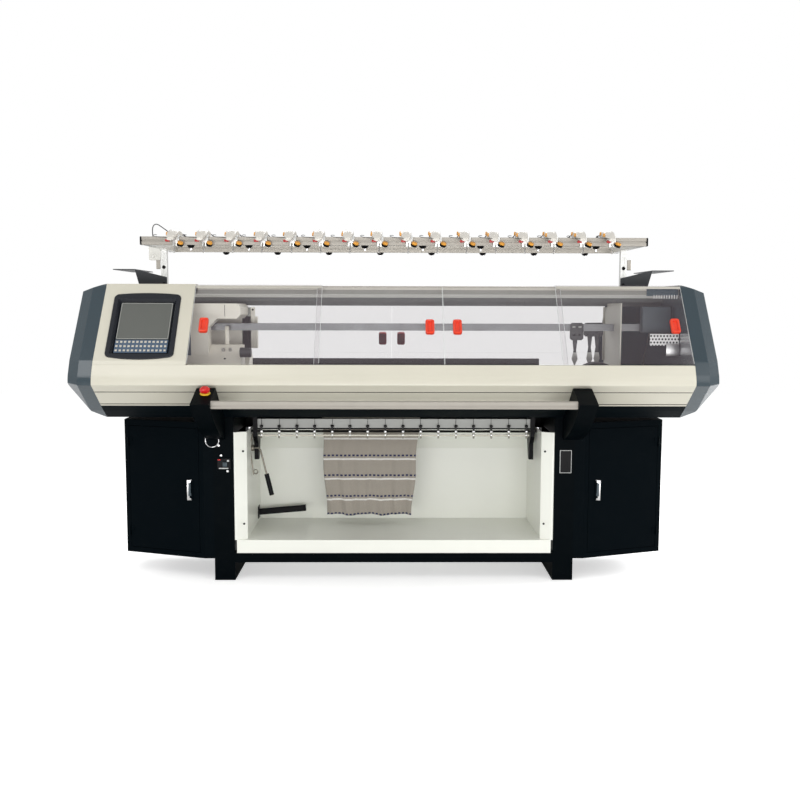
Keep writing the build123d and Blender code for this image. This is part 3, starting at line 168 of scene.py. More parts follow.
def on_path(knots, count):
    """Points at even parameter steps on the Catmull-Rom curve through the knots."""
    p = np.asarray(knots, float)
    p = np.concatenate([2 * p[:1] - p[1:2], p, 2 * p[-1:] - p[-2:-1]])
    t = np.linspace(0, len(p) - 3 - 1e-9, count)
    i = t.astype(int)
    f = (t - i)[:, None]
    a, b, c, d = p[i], p[i + 1], p[i + 2], p[i + 3]
    cubic = -a + 3 * b - 3 * c + d
    return 0.5 * (2 * b + (c - a) * f + (2 * a - 5 * b + 4 * c - d) * f**2 + cubic * f**3)


def tube(path, radius, sides=10):
    """Circle of a radius (one value or one a point) carried square to a path, ends closed."""
    path = np.asarray(path, float)
    along = np.gradient(path, axis=0)
    along /= np.linalg.norm(along, axis=1, keepdims=True)
    side = np.cross(along, TUBE_START)
    side /= np.linalg.norm(side, axis=1, keepdims=True)
    up = np.cross(side, along)
    angle = np.linspace(0, 2 * np.pi, sides, endpoint=False)
    size = np.broadcast_to(np.asarray(radius, float), len(path))[:, None, None]
    ring = np.cos(angle)[None, :, None] * side[:, None] + np.sin(angle)[None, :, None] * up[:, None]
    return capped(path[:, None] + size * ring)


def turned_rings(profile, origin, axis, sides):
    """Rings of points: a profile of (radius, height) pairs turned about an axis through a point."""
    profile = np.asarray(profile, float)
    axis = np.asarray(axis, float) / np.linalg.norm(axis)
    side = np.cross(axis, TURN_START)
    side /= np.linalg.norm(side)
    other = np.cross(axis, side)
    angle = np.linspace(0, 2 * np.pi, sides, endpoint=False)
    ring = np.cos(angle)[:, None] * side + np.sin(angle)[:, None] * other
    points = profile[:, 0, None, None] * ring[None] + profile[:, 1, None, None] * axis
    return points + np.asarray(origin, float)


def turned(profile, origin, axis, sides=24):
    """Turned solid: the rings of a profile, with both ends closed."""
    return capped(turned_rings(profile, origin, axis, sides))


def hollow_turned(profile, origin, axis, sides=32):
    """Turned ring with no centre: the profile is a closed line."""
    rings = turned_rings(profile, origin, axis, sides)
    return surface(rings, close_rows=True, close_columns=True)


def bent_sheet(path, thickness, x_low, x_high):
    """Sheet along x: a line of (y, z) points and its offset by the thickness, closed all round."""
    path = np.asarray(path, float)
    along = np.gradient(path, axis=0)
    along /= np.linalg.norm(along, axis=1, keepdims=True)
    back = path + thickness * np.stack([-along[:, 1], along[:, 0]], axis=-1)
    across = np.broadcast_to(np.array([x_low, x_high, x_high, x_low]), (len(path), 4))
    sides = np.stack([path, path, back, back], axis=1)
    return capped(np.concatenate([across[..., None], sides], axis=-1))


def torus(centre, major, minor, axis, sides=36, round_sides=10):
    """Ring: a small circle carried round a big one about an axis."""
    angle = np.linspace(0, 2 * np.pi, round_sides, endpoint=False)
    profile = np.stack([major + minor * np.cos(angle), minor * np.sin(angle)], axis=-1)
    return hollow_turned(profile, centre, axis, sides)


def swung(part, yaw, place):
    """A part turned about its own upright axis, then moved to a place."""
    vertices, quads = part
    c, s = math.cos(yaw), math.sin(yaw)
    turn = np.array([[c, s, 0.0], [-s, c, 0.0], [0.0, 0.0, 1.0]])
    return vertices @ turn + np.asarray(place, float), quads


def block_row(xs, y, z, size, radius, steps=1):
    """Rounded blocks of one size side by side along x."""
    places = [(x, y, z) for x in xs]
    return repeated(rounded_block((0, 0, 0), size, radius, steps), places)


def round_rectangle(width, height, corner, steps=5):
    """Closed ring of (x, y) points: four quarter circles at the corners of a rectangle."""
    _, turn, east, north = corner_turns(steps)
    x = east * (width / 2 - corner) + corner * np.cos(turn)
    y = north * (height / 2 - corner) + corner * np.sin(turn)
    return np.stack([x, y], axis=-1)


def on_slope(across, up, out):
    """Window-slope coordinates (along x, up from the roof edge, outwards) in the row frame."""
    across, up, out = np.broadcast_arrays(across, up, out)
    origin = np.array([0.0, ROOF_Y, ROOF_Z])
    flat = origin + up[..., None] * SLOPE_UP + out[..., None] * SLOPE_OUT
    flat[..., 0] += across
    return flat


def onto_slope(part):
    """A flat-lying part (across, up, out) carried onto the window slope."""
    vertices, quads = part
    return on_slope(*vertices.T), quads


def slope_rings(x, down, width, height, corner, least, steps):
    """Round rectangles on the slope, one for each (inset, out); corners shrink to a least."""
    rings = []
    for inset, out in steps:
        ring = round_rectangle(width - 2 * inset, height - 2 * inset, max(corner - inset, least))
        rings.append(on_slope(x + ring[:, 0], ring[:, 1] - down, out))
    return np.stack(rings)


def part_frame(part):
    """A part drawn about the needle gap, moved into the row frame."""
    vertices, quads = part
    return vertices + np.array([0.0, Y_SHIFT, 0.0]), quads


def drawn_blocks(blocks):
    """Rounded blocks (centre, size, radius, steps) drawn about the needle gap, as one part."""
    return part_frame(joined([rounded_block(*block) for block in blocks]))


def to_rear(part):
    """A part mirrored behind the needle gap, with its quads turned back."""
    vertices, quads = part
    mirrored = vertices.copy()
    mirrored[:, 1] = 2 * Y_SHIFT - mirrored[:, 1]
    return mirrored, quads[:, ::-1]


# ---------------------------------------------------------------- shader groups


FLOAT = "NodeSocketFloat"
COLOUR = "NodeSocketColor"
VECTOR = "NodeSocketVector"
NOISE = "ShaderNodeTexNoise"
MAP_RANGE = "ShaderNodeMapRange"
SEPARATE = "ShaderNodeSeparateXYZ"


def new_group(name, inputs):
    """Finish group: inputs are (name, type, default); out come colour, roughness and height."""
    group = bpy.data.node_groups.new(name, "ShaderNodeTree")
    for label, kind, value in inputs:
        socket = group.interface.new_socket(name=label, in_out="INPUT", socket_type=kind)
        if value is not None:
            socket.default_value = value
    for label, kind in (("Colour", COLOUR), ("Roughness", FLOAT), ("Height", FLOAT)):
        group.interface.new_socket(name=label, in_out="OUTPUT", socket_type=kind)
    given = group.nodes.new("NodeGroupInput").outputs
    return group, given, group.nodes.new("NodeGroupOutput").inputs


def feed(tree, value, socket):
    """Sets a socket to a plain value, or links it to the socket given in its place."""
    if isinstance(value, bpy.types.NodeSocket):
        tree.links.new(value, socket)
    else:
        socket.default_value = value


def node(tree, kind, **settings):
    """New shader node: in_NAME or in_NUMBER feeds an input, any other setting is a property."""
    made = tree.nodes.new(kind)
    for key, value in settings.items():
        if key.startswith("in_"):
            label = key[3:].replace("_", " ")
            feed(tree, value, made.inputs[int(label) if label.isdigit() else label])
        else:
            setattr(made, key, value)
    return made


def calculator(tree):
    """Function that adds Math nodes: operands are numbers or sockets, the result is a socket."""

    def compute(operation, *operands):
        step = node(tree, "ShaderNodeMath", operation=operation)
        for value, socket in zip(operands, step.inputs):
            feed(tree, value, socket)
        return step.outputs[0]

    return compute


def mixed(tree, share, first, second, blend_type="MIX"):
    """Adds a colour mix: share and both colours are values or sockets, the result is a socket."""
    made = node(tree, "ShaderNodeMix", data_type="RGBA", blend_type=blend_type,
                in_0=share, in_6=first, in_7=second)
    return made.outputs[2]


def coat_group():
    """Powder coat: fine orange-peel height, slow drift of tone, and dusty, duller patches."""
    group, given, out = new_group("powder_coat", [
        ("Place", VECTOR, None), ("Colour", COLOUR, (0.8, 0.8, 0.8, 1)),
        ("Dust colour", COLOUR, (0.6, 0.58, 0.54, 1)), ("Dust", FLOAT, 0.1),
        ("Roughness", FLOAT, 0.4), ("Peel size", FLOAT, 900.0)])
    compute = calculator(group)
    place = given["Place"]
    peel = node(group, NOISE, in_Vector=place, in_Scale=given["Peel size"], in_Detail=2.0,
                in_Roughness=0.4)
    drift = node(group, NOISE, in_Vector=place, in_Scale=3.0, in_Detail=3.0)
    dust = node(group, NOISE, in_Vector=place, in_Scale=14.0, in_Detail=6.0, in_Roughness=0.65)
    spread = node(group, MAP_RANGE, in_0=dust.outputs["Fac"], in_1=0.45, in_2=0.75)
    amount = compute("MULTIPLY", spread.outputs[0], given["Dust"])
    shade = node(group, MAP_RANGE, in_0=drift.outputs["Fac"], in_3=0.94, in_4=1.05)
    toned = mixed(group, 1.0, given["Colour"], shade.outputs[0], "MULTIPLY")
    feed(group, mixed(group, amount, toned, given["Dust colour"]), out["Colour"])
    feed(group, compute("MULTIPLY_ADD", amount, 0.6, given["Roughness"]), out["Roughness"])
    feed(group, peel.outputs["Fac"], out["Height"])
    return group


def grain_group():
    """Drawn metal: noise stretched along one axis gives lines of tone, gloss and height."""
    group, given, out = new_group("drawn_metal", [
        ("Place", VECTOR, None), ("Stretch", VECTOR, (4.0, 700.0, 700.0)),
        ("Colour", COLOUR, (0.7, 0.7, 0.7, 1)), ("Roughness", FLOAT, 0.3),
        ("Contrast", FLOAT, 0.12)])
    compute = calculator(group)
    lines = node(group, "ShaderNodeVectorMath", operation="MULTIPLY", in_0=given["Place"],
                 in_1=given["Stretch"])
    streak = node(group, NOISE, in_Vector=lines.outputs[0], in_Scale=1.0, in_Detail=4.0)
    cloud = node(group, NOISE, in_Vector=given["Place"], in_Scale=18.0, in_Detail=4.0)
    centred = compute("SUBTRACT", streak.outputs["Fac"], 0.5)
    swing = compute("MULTIPLY", centred, given["Contrast"])
    gain = compute("MULTIPLY_ADD", swing, 3.0, 1.0)
    worn = compute("MULTIPLY_ADD", cloud.outputs["Fac"], 0.2, given["Roughness"])
    rough = node(group, "ShaderNodeMath", operation="ADD", use_clamp=True, in_0=worn, in_1=swing)
    feed(group, mixed(group, 1.0, given["Colour"], gain, "MULTIPLY"), out["Colour"])
    feed(group, rough.outputs[0], out["Roughness"])
    feed(group, streak.outputs["Fac"], out["Height"])
    return group


POWDER_COAT = coat_group()
DRAWN_METAL = grain_group()


def start_material(name, **constants):
    """Material with a Principled shader whose plain values sit on its own sockets."""
    made = bpy.data.materials.new(name)
    made.use_nodes = True
    tree = made.node_tree
    shader = tree.nodes["Principled BSDF"]
    for label, value in constants.items():
        shader.inputs[label.replace("_", " ")].default_value = value
    place = tree.nodes.new("ShaderNodeTexCoord")
    return made, tree, shader, place.outputs["Object"]


def with_height(tree, shader, height, strength, distance):
    """Feeds a height through a Bump node to the shader's normal."""
    bump = node(tree, "ShaderNodeBump", in_Strength=strength, in_Distance=distance,
                in_Height=height)
    tree.links.new(bump.outputs["Normal"], shader.inputs["Normal"])


def finished(tree, shader, finish, bump, distance):
    """Leads a finish group's colour, roughness and height to the shader."""
    tree.links.new(finish.outputs["Colour"], shader.inputs["Base Color"])
    tree.links.new(finish.outputs["Roughness"], shader.inputs["Roughness"])
    with_height(tree, shader, finish.outputs["Height"], bump, distance)


def coated(name, colour, roughness=0.38, dust=0.06, dust_colour=(0.6, 0.58, 0.54), peel=900.0,
           bump=0.12, **constants):
    """Powder-coated sheet or moulded plastic of one colour."""
    made, tree, shader, place = start_material(name, **constants)
    coat = node(tree, "ShaderNodeGroup", node_tree=POWDER_COAT, in_Place=place,
                in_Colour=(*colour, 1), in_Dust_colour=(*dust_colour, 1), in_Dust=dust,
                in_Roughness=roughness, in_Peel_size=peel)
    finished(tree, shader, coat, bump, 0.0004)
    return made


def black_coat(name, colour, roughness, dust, specular, peel=900.0, bump=0.12):
    """Coat so dark that its own shine would grey it: little specular, dark dust."""
    return coated(name, colour, roughness, dust, (0.03, 0.03, 0.03), peel, bump,
                  Specular_IOR_Level=specular)


def drawn(name, colour, roughness=0.3, stretch=(4.0, 700.0, 700.0), contrast=0.12, bump=0.15,
          metallic=1.0, **constants):
    """Metal with lines of drawing, grinding or brushing along one axis."""
    made, tree, shader, place = start_material(name, Metallic=metallic, **constants)
    metal = node(tree, "ShaderNodeGroup", node_tree=DRAWN_METAL, in_Place=place,
                 in_Stretch=stretch, in_Colour=(*colour, 1), in_Roughness=roughness,
                 in_Contrast=contrast)
    finished(tree, shader, metal, bump, 0.0002)
    return made


def banded(name, low, high, bands, roughness=0.34, metallic=0.0, **constants):
    """Coat whose colour changes in level bands; each band is (share of the height, colour)."""
    made = coated(name, (1, 1, 1), roughness, 0.05, Metallic=metallic, **constants)
    tree = made.node_tree
    coat = next(n for n in tree.nodes if n.bl_idname == "ShaderNodeGroup")
    place = next(n for n in tree.nodes if n.bl_idname == "ShaderNodeTexCoord").outputs["Object"]
    parts = node(tree, SEPARATE, in_0=place)
    share = node(tree, MAP_RANGE, in_0=parts.outputs["Z"], in_1=low, in_2=high)
    ramp = node(tree, "ShaderNodeValToRGB", in_0=share.outputs[0])
    ramp.color_ramp.interpolation = "CONSTANT"
    stops = ramp.color_ramp.elements
    stops[0].position, stops[0].color = bands[0][0], (*bands[0][1], 1)
    stops[1].position, stops[1].color = bands[-1][0], (*bands[-1][1], 1)
    for position, colour in bands[1:-1]:
        stops.new(position).color = (*colour, 1)
    tree.links.new(ramp.outputs["Color"], coat.inputs["Colour"])
    return made


def perforated(name, colour, pitch):
    """Punched sheet: dark round holes in staggered rows, worked out from object x and z. A hole is
    where the squared distance from the middle of its cell is under 0.1 of a squared pitch."""
    made, tree, shader, place = start_material(name, Metallic=0.6, Roughness=0.3)
    compute = calculator(tree)
    parts = node(tree, SEPARATE, in_0=place)
    row = compute("MULTIPLY", parts.outputs["Z"], 1 / pitch)
    shift = compute("MULTIPLY", compute("FLOOR", row), 0.5)
    column = compute("ADD", compute("MULTIPLY", parts.outputs["X"], 1 / pitch), shift)
    away_x = compute("SUBTRACT", compute("FRACT", column), 0.5)
    away_z = compute("SUBTRACT", compute("FRACT", row), 0.5)
    across = compute("MULTIPLY", away_x, away_x)
    hole = compute("LESS_THAN", compute("ADD", across, compute("MULTIPLY", away_z, away_z)), 0.1)
    holed = mixed(tree, hole, (*colour, 1), (0.02, 0.022, 0.025, 1))
    tree.links.new(holed, shader.inputs["Base Color"])
    with_height(tree, shader, compute("SUBTRACT", 1.0, hole), 0.4, 0.0006)
    return made


def clear_sheet(name, colour, alpha, **constants):
    """Acrylic: pale sheet that lets most light by, with fine scratches in its gloss."""
    made, tree, shader, place = start_material(name, IOR=1.49, Alpha=alpha, Base_Color=(*colour, 1),
                                               **constants)
    scratch = node(tree, NOISE, in_Vector=place, in_Scale=260.0, in_Detail=5.0)
    gloss = node(tree, MAP_RANGE, in_0=scratch.outputs["Fac"], in_3=0.04, in_4=0.14)
    tree.links.new(gloss.outputs[0], shader.inputs["Roughness"])
    return made


# ---------------------------------------------------------------- finishes

BEIGE = coated("cover_coat", (0.635, 0.61, 0.51), 0.3, 0.03, Coat_Weight=0.15)
BEIGE_INSIDE = coated("tray_coat", (0.86, 0.87, 0.8), 0.3, 0.0)
SLATE = coated("cap_shell", (0.018, 0.038, 0.051), 0.26, 0.03, (0.06, 0.07, 0.08), 500.0, 0.12,
              Coat_Weight=0.6, Coat_Roughness=0.18)
FRAME_BLACK = black_coat("frame_coat", (0.0008, 0.0022, 0.0032), 0.42, 0.03, 0.025)
CABINET_BLACK = black_coat("cabinet_coat", (0.001, 0.0028, 0.0042), 0.48, 0.02, 0.025)
PAN_DARK = black_coat("pan_coat", (0.0018, 0.004, 0.0055), 0.45, 0.03, 0.04)
BEZEL = coated("bezel_shell", (0.006, 0.0082, 0.0135), 0.2, 0.03, (0.05, 0.05, 0.06), 300.0, 0.03)
CAST = coated("base_casting", (0.012, 0.013, 0.014), 0.5, 0.15, (0.05, 0.05, 0.05), 220.0, 0.5)
PLATE_COAT = coated("side_plate_coat", (0.5, 0.49, 0.43), 0.35, 0.1)
CARRIAGE_COAT = coated("carriage_coat", (0.8, 0.77, 0.68), 0.32, 0.08)
CAM_COAT = coated("cam_plate_coat", (0.3, 0.315, 0.29), 0.36, 0.1)
MOTOR_DARK = coated("motor_coat", (0.012, 0.013, 0.015), 0.42, 0.1, (0.05, 0.05, 0.05))
# This dark lining coat also colours the painted shade plate beside the carriage column.
LINING_AND_SHADE = coated("end_lining_and_shade_coat", (0.018, 0.05, 0.07), 0.55, 0.08, (0.06, 0.07, 0.075))
END_BOX = coated("end_box_coat", (0.045, 0.066, 0.08), 0.5, 0.08, (0.1, 0.11, 0.12))
PUNCHED = perforated("punched_plate", (0.7, 0.7, 0.69), 0.0145)
BEAM_METAL = drawn("rack_beam_metal", (0.4, 0.375, 0.335), 0.32, metallic=0.8)
ROD_METAL = drawn("warm_rod_steel", (0.27, 0.25, 0.21), 0.25, metallic=0.8)
BAR_METAL = drawn("start_bar_metal", (0.36, 0.335, 0.295), 0.45, metallic=0.25)
# This black rubber finish also colours the painted shade strips in the cover's grooves.
RUBBER_AND_GROOVE_SHADE = black_coat("black_rubber_and_groove_shade", (0.004, 0.004, 0.004), 0.7, 0.1, 0.12, 500.0, 0.4)
TAKEDOWN_BLACK = black_coat("takedown_coat", (0.003, 0.003, 0.004), 0.4, 0.05, 0.1)
STRIP_GREY = coated("strip_coat", (0.36, 0.365, 0.34), 0.34, 0.06)
SHELF_GREY = coated("shelf_coat", (0.022, 0.025, 0.03), 0.4, 0.1, (0.06, 0.06, 0.07))
BLACK_PLASTIC = black_coat("black_plastic", (0.003, 0.003, 0.004), 0.3, 0.04, 0.12, 600.0)
BOX_PLASTIC = coated("box_plastic", (0.8, 0.79, 0.74), 0.4, 0.05)
ORANGE = coated("pull_plastic", (0.8, 0.05, 0.016), 0.3, 0.03, (0.7, 0.3, 0.2), 400.0, 0.06)
DEEP_RED = coated("rear_pull_plastic", (0.42, 0.012, 0.012), 0.35, 0.05)
STOP_RED = coated("stop_plastic", (0.62, 0.01, 0.012), 0.22, 0.03, (0.5, 0.2, 0.2), 400.0, 0.05)
STOP_YELLOW = coated("ring_plastic", (0.85, 0.52, 0.02), 0.35, 0.05)
AMBER = coated("disc_plastic", (0.8, 0.36, 0.04), 0.32, 0.04)
UNIT_SHELL = coated("unit_shell", (0.7, 0.67, 0.61), 0.3, 0.02, bump=0.02)
LABEL_PLATE = coated("plate_face", (0.5, 0.51, 0.5), 0.3, 0.05)
KEY_CAP = coated("key_cap", (0.56, 0.53, 0.46), 0.45, 0.05)
ALUMINIUM = drawn("drawn_aluminium", (0.74, 0.74, 0.72), 0.26)
RAIL_ALUMINIUM = drawn("roof_rail_aluminium", (0.6, 0.575, 0.51), 0.4, metallic=0.35)
# Both top rails are coloured in bands by height: the darker bands are painted shade on the rails'
# shaded faces and undersides, and the lighter bands are their lit faces and own coat.
FRONT_RAIL_SHADE_BANDS = banded("front_rail_painted_shade", 1.2, 1.35, [
    (0.0, (0.5, 0.5, 0.47)), (0.617, (0.24, 0.24, 0.215)), (0.747, (0.58, 0.555, 0.49))])
REAR_RAIL_SHADE_BANDS = banded("rear_rail_painted_shade", 1.2, 1.35, [
    (0.0, (0.07, 0.078, 0.074)), (0.533, (0.5, 0.5, 0.47)), (0.64, (0.19, 0.205, 0.195)),
    (0.8, (0.52, 0.5, 0.44))])
LEVER_STEEL = banded("lever_steel", 0.6, 0.7, [
    (0.0, (0.25, 0.24, 0.2)), (0.57, (0.012, 0.012, 0.012))], 0.3, 0.6)
GROUND_STEEL = drawn("ground_steel", (0.4, 0.4, 0.4), 0.26, (700.0, 6.0, 700.0))
BED_STEEL = drawn("needle_bed_steel", (0.16, 0.16, 0.17), 0.28, (700.0, 20.0, 20.0), 0.2)
YARN_RAIL = drawn("anodised_rail", (0.2, 0.205, 0.21), 0.34)
CARRIER_DARK = drawn("carrier_steel", (0.045, 0.045, 0.048), 0.34, (20.0, 500.0, 20.0))
CARRIER_TWO = banded("carrier_two_tone", 0.9, 1.2, [
    (0.0, (0.42, 0.42, 0.4)), (0.42, (0.022, 0.024, 0.026))], 0.32, 0.5)
SILVER = drawn("bright_fitting", (0.66, 0.66, 0.66), 0.22, (60.0, 500.0, 60.0), 0.08, 0.05)
CHROME = drawn("polished_rod", (0.82, 0.82, 0.83), 0.07, (8.0, 300.0, 300.0), 0.04, 0.03)
SCREEN = coated("screen_glass", (0.118, 0.123, 0.112), 0.16, 0.02, (0.2, 0.2, 0.2), 200.0, 0.0)
KEYPAD = coated("keypad_film", (0.055, 0.095, 0.155), 0.4, 0.05)
CLEAR = clear_sheet("window_acrylic", (0.36, 0.31, 0.34), 0.085, Specular_IOR_Level=0.3)
# PANE_EDGE_HIGHLIGHT is a painted highlight: a pale, nearly opaque finish for the light caught in
# the panes' cut edges.
PANE_EDGE_HIGHLIGHT = clear_sheet("acrylic_edge_highlight", (0.9, 0.93, 0.92), 0.75)

FINISHES = (
    (FRAME_BLACK, ("leg_frame", "left_bar_bracket", "right_bar_bracket")),
    (BEIGE_INSIDE, ("cloth_tray", "left_liner", "right_liner")),
    (BEIGE, ("front_cover", "rear_cover", "console_cover")),
    (SLATE, ("left_end_cap", "right_end_cap")),
    (PAN_DARK, ("head_pan",)),
    (BEZEL, ("console_bezel",)),
    (SCREEN, ("console_screen",)),
    (KEYPAD, ("console_keypad",)),
    (CLEAR, ("window_1", "window_2", "window_3", "window_4", "rear_window_left",
             "rear_window_right")),
    (FRONT_RAIL_SHADE_BANDS, ("front_top_rail",)),
    (REAR_RAIL_SHADE_BANDS, ("rear_top_rail",)),
    (GROUND_STEEL, ("front_guide_rail", "rear_guide_rail")),
    (BED_STEEL, ("front_needle_bed", "rear_needle_bed")),
    (CAST, ("bed_base",)),
    (YARN_RAIL, ("front_yarn_rail", "rear_yarn_rail")),
    (PLATE_COAT, ("left_side_plate", "right_side_plate")),
    (CARRIAGE_COAT, ("carriage_arch", "front_cam_box")),
    (CARRIER_TWO, ("yarn_carrier_1", "yarn_carrier_2", "yarn_carrier_3")),
    (MOTOR_DARK, ("drive_motor",)),
    (RUBBER_AND_GROOVE_SHADE, ("drive_belt", "takedown_roller")),
    (TAKEDOWN_BLACK, ("takedown_frame",)),
    (BLACK_PLASTIC, ("feeler_bar", "breaker_panel")),
    (LEVER_STEEL, ("press_levers",)),
    (ROD_METAL, ("release_lever",)),
    (CABINET_BLACK, ("left_cabinet", "right_cabinet", "left_door", "right_door")),
    (BAR_METAL, ("start_bar",)),
    (STOP_RED, ("stop_button",)),
    (BEAM_METAL, ("rack_front_beam", "rack_rear_beam")),
    (ALUMINIUM, ("left_post", "right_post")),
    (SHELF_GREY, ("left_yarn_shelf", "right_yarn_shelf")),
    (BOX_PLASTIC, ("rack_box",)),
    (UNIT_SHELL, ("tension_units", "fabric")),
)
for material, names in FINISHES:
    for name in names:
        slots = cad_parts[name].data.materials
        slots.clear()
        slots.append(material)


# ---------------------------------------------------------------- windows and their pulls


# How far the panes of each track lie under the slope, and how far down it their pulls sit.
OUTER_TRACK = 0.002
INNER_TRACK = 0.012
PULL_DOWN = 0.225
REAR_PULL_DOWN = 0.32


def dished_pull(x, track, down):
    """Cupped pull on a pane: round rectangles stepped up the sides, over the rim and down."""
    steps = [(0, 0.0), (0, 0.0115), (0.0012, 0.0136), (0.0034, 0.0145), (0.008, 0.0145),
             (0.009, 0.0136), (0.0096, 0.012), (0.011, 0.0048), (0.013, 0.0044)]
    sunk = [(inset, out - track) for inset, out in steps]
    return capped(slope_rings(x, down, 0.039, 0.073, 0.01, 0.003, sunk))


def pane_edge_highlights(ends, track):
    """Painted highlight on the cut edges of a pane: a pale thin strip up the slope at each end, 0.3
    mm proud of it.
    """
    strips = []
    for x in ends:
        vertices, quads = rounded_block((x, -0.209, 0.0), (0.0016, 0.408, 0.0046), 0.0006, 1)
        strips.append(onto_slope((vertices - np.array([0.0, 0.0, track + 0.002]), quads)))
    return joined(strips)


# Each front window: number, x of its pull, track, x of both ends.
WINDOWS = ((1, -0.828, OUTER_TRACK, (-0.8835, -0.3225)), (2, 0.154, INNER_TRACK, (-0.3445, 0.2125)),
           (3, 0.274, INNER_TRACK, (0.2155, 0.7415)), (4, 1.223, OUTER_TRACK, (0.7185, 1.2785)))
for number, x, track, ends in WINDOWS:
    body = f"front_window_{number}"
    piece(f"window_pull_{number}", dished_pull(x, track, PULL_DOWN), body, ORANGE)
    piece(f"window_edge_highlights_{number}", pane_edge_highlights(ends, track), body, PANE_EDGE_HIGHLIGHT)
for side, x in (("left", -0.057), ("right", 0.036)):
    pull = to_rear(dished_pull(x, OUTER_TRACK, REAR_PULL_DOWN))
    piece(f"rear_pull_{side}", pull, f"back_window_{side}", DEEP_RED)
for number, _, track, (low_x, high_x) in WINDOWS:
    if track == OUTER_TRACK:
        strip = rounded_block((0.5 * (low_x + high_x), -0.014, 0.0015 - track),
                              (high_x - low_x - 0.004, 0.013, 0.003), 0.0012, 2)
        piece(f"window_strip_{number}", onto_slope(strip), f"front_window_{number}",
              RAIL_ALUMINIUM)


# ---------------------------------------------------------------- top tension units

UNITS = 16
UNIT_PITCH = 0.127
UNIT_X = UNIT_PITCH * (np.arange(UNITS) - 7.5)
UNIT_OFFSETS = np.stack([UNIT_X, np.full(UNITS, Y_SHIFT), np.zeros(UNITS)], axis=-1)
SHELL_OFFSETS = UNIT_OFFSETS - [0.014, 0.0, 0.0]
BEAM_LOW = 1.504
BEAM_FRONT = -0.25
BEAM_MIDDLES = (-0.235, 0.305)
DISH_SEAT = (0.032, BEAM_FRONT - 0.018, BEAM_LOW - 0.006)
DISH_AXIS = (0.28, -0.4, 0.87)


def unit_shell():
    """Mouse-shaped housing: super-ellipse sections on a spine that dips to a low, narrow nose."""
    along = np.linspace(0, 1, 30)
    eased = 0.5 - 0.5 * np.cos(np.pi * along)
    length = -0.3175 + 0.1785 * eased
    swell = np.clip(1 - np.abs(2 * along - 1) ** 3.0, 0.0, 1) ** (1 / 2.3)
    half_width = 0.0045 + 0.019 * swell * (0.72 + 0.28 * np.clip(eased / 0.35, 0, 1))
    nose = np.clip(1 - eased / 0.62, 0, 1) ** 2.1
    tail = np.clip((eased - 0.62) / 0.38, 0, 1) ** 2
    top = 1.5735 - 0.04 * nose - 0.011 * tail
    low = 1.5445 - 0.029 * np.clip(1 - eased / 0.5, 0, 1) ** 1.3
    middle = (top + low) / 2
    half_height = (top - low) / 2 * (0.25 + 0.75 * swell)
    angle = np.linspace(0, 2 * np.pi, 28, endpoint=False)
    c, s = np.cos(angle), np.sin(angle)
    across = np.sign(c) * np.abs(c) ** 0.66
    lift = np.sign(s) * np.abs(s) ** 0.78
    x = half_width[:, None] * across
    y = np.broadcast_to(length[:, None], x.shape)
    z = middle[:, None] + half_height[:, None] * lift
    return capped(np.stack([x, y, z], axis=-1))


# Feeler wire: out of the nose, level and to the left, with an open hook at its end.
WIRE = tube(on_path([(-0.004, -0.312, 1.528), (-0.018, -0.319, 1.531), (-0.044, -0.321, 1.533),
                     (-0.064, -0.32, 1.536), (-0.07, -0.316, 1.54), (-0.064, -0.314, 1.543),
                     (-0.054, -0.316, 1.5415)], 34), 0.0012, 6)
# Black dish in front of the beam, and the amber tension knob over it.
DISH = turned([(0.006, 0.0), (0.0135, 0.002), (0.0145, 0.006), (0.0145, 0.009), (0.0095, 0.012)],
              DISH_SEAT, DISH_AXIS, 18)
DISC = turned([(0.004, 0.011), (0.0118, 0.0115), (0.0126, 0.014), (0.0126, 0.018),
               (0.01, 0.0205)], DISH_SEAT, DISH_AXIS, 18)
# Two amber knobs on the left cheek of the housing.
CHEEK_KNOB = [(0.008, 0.0), (0.0086, 0.004), (0.0074, 0.0075)]
CHEEK_KNOBS = joined([turned(CHEEK_KNOB, (-0.02, -0.262, 1.55), (-1.0, -0.2, 0.1), 14),
                      turned(CHEEK_KNOB, (-0.0205, -0.19, 1.561), (-1.0, 0.1, 0.1), 14)])
# Red yarn guide block under the nose of the housing.
GUIDE_FOOT = rounded_block((-0.012, -0.304, 1.519), (0.02, 0.016, 0.011), 0.003, 2)
# Bright clamp: a cheek down the beam's front face, a saddle over the beam and a yarn tube.
CLAMP = joined([
    rounded_block((0.0, BEAM_FRONT - 0.0058, BEAM_LOW + 0.018), (0.03, 0.0112, 0.05), 0.003, 2),
    rounded_block((0.0, BEAM_MIDDLES[0], 1.5425), (0.03, 0.052, 0.008), 0.002, 2),
    turned([(0.0032, 0), (0.0032, 0.038), (0.0044, 0.04), (0.0044, 0.044)],
           (-0.003, BEAM_FRONT - 0.014, BEAM_LOW + 0.008), (-0.05, -0.3, -1.0), 12),
])


def rear_arm(lean):
    """Black feeler arm behind the housing, level at first and then falling to one side."""
    knots = [(0.4 * lean, -0.15, 1.56), (0.7 * lean, -0.12, 1.56), (1.0 * lean, -0.085, 1.554),
             (1.2 * lean, -0.055, 1.544)]
    return tube(on_path(knots, 18), 0.0024, 7)


def at_shells(part):
    """A part copied to the place of every housing."""
    return repeated(part, SHELL_OFFSETS)


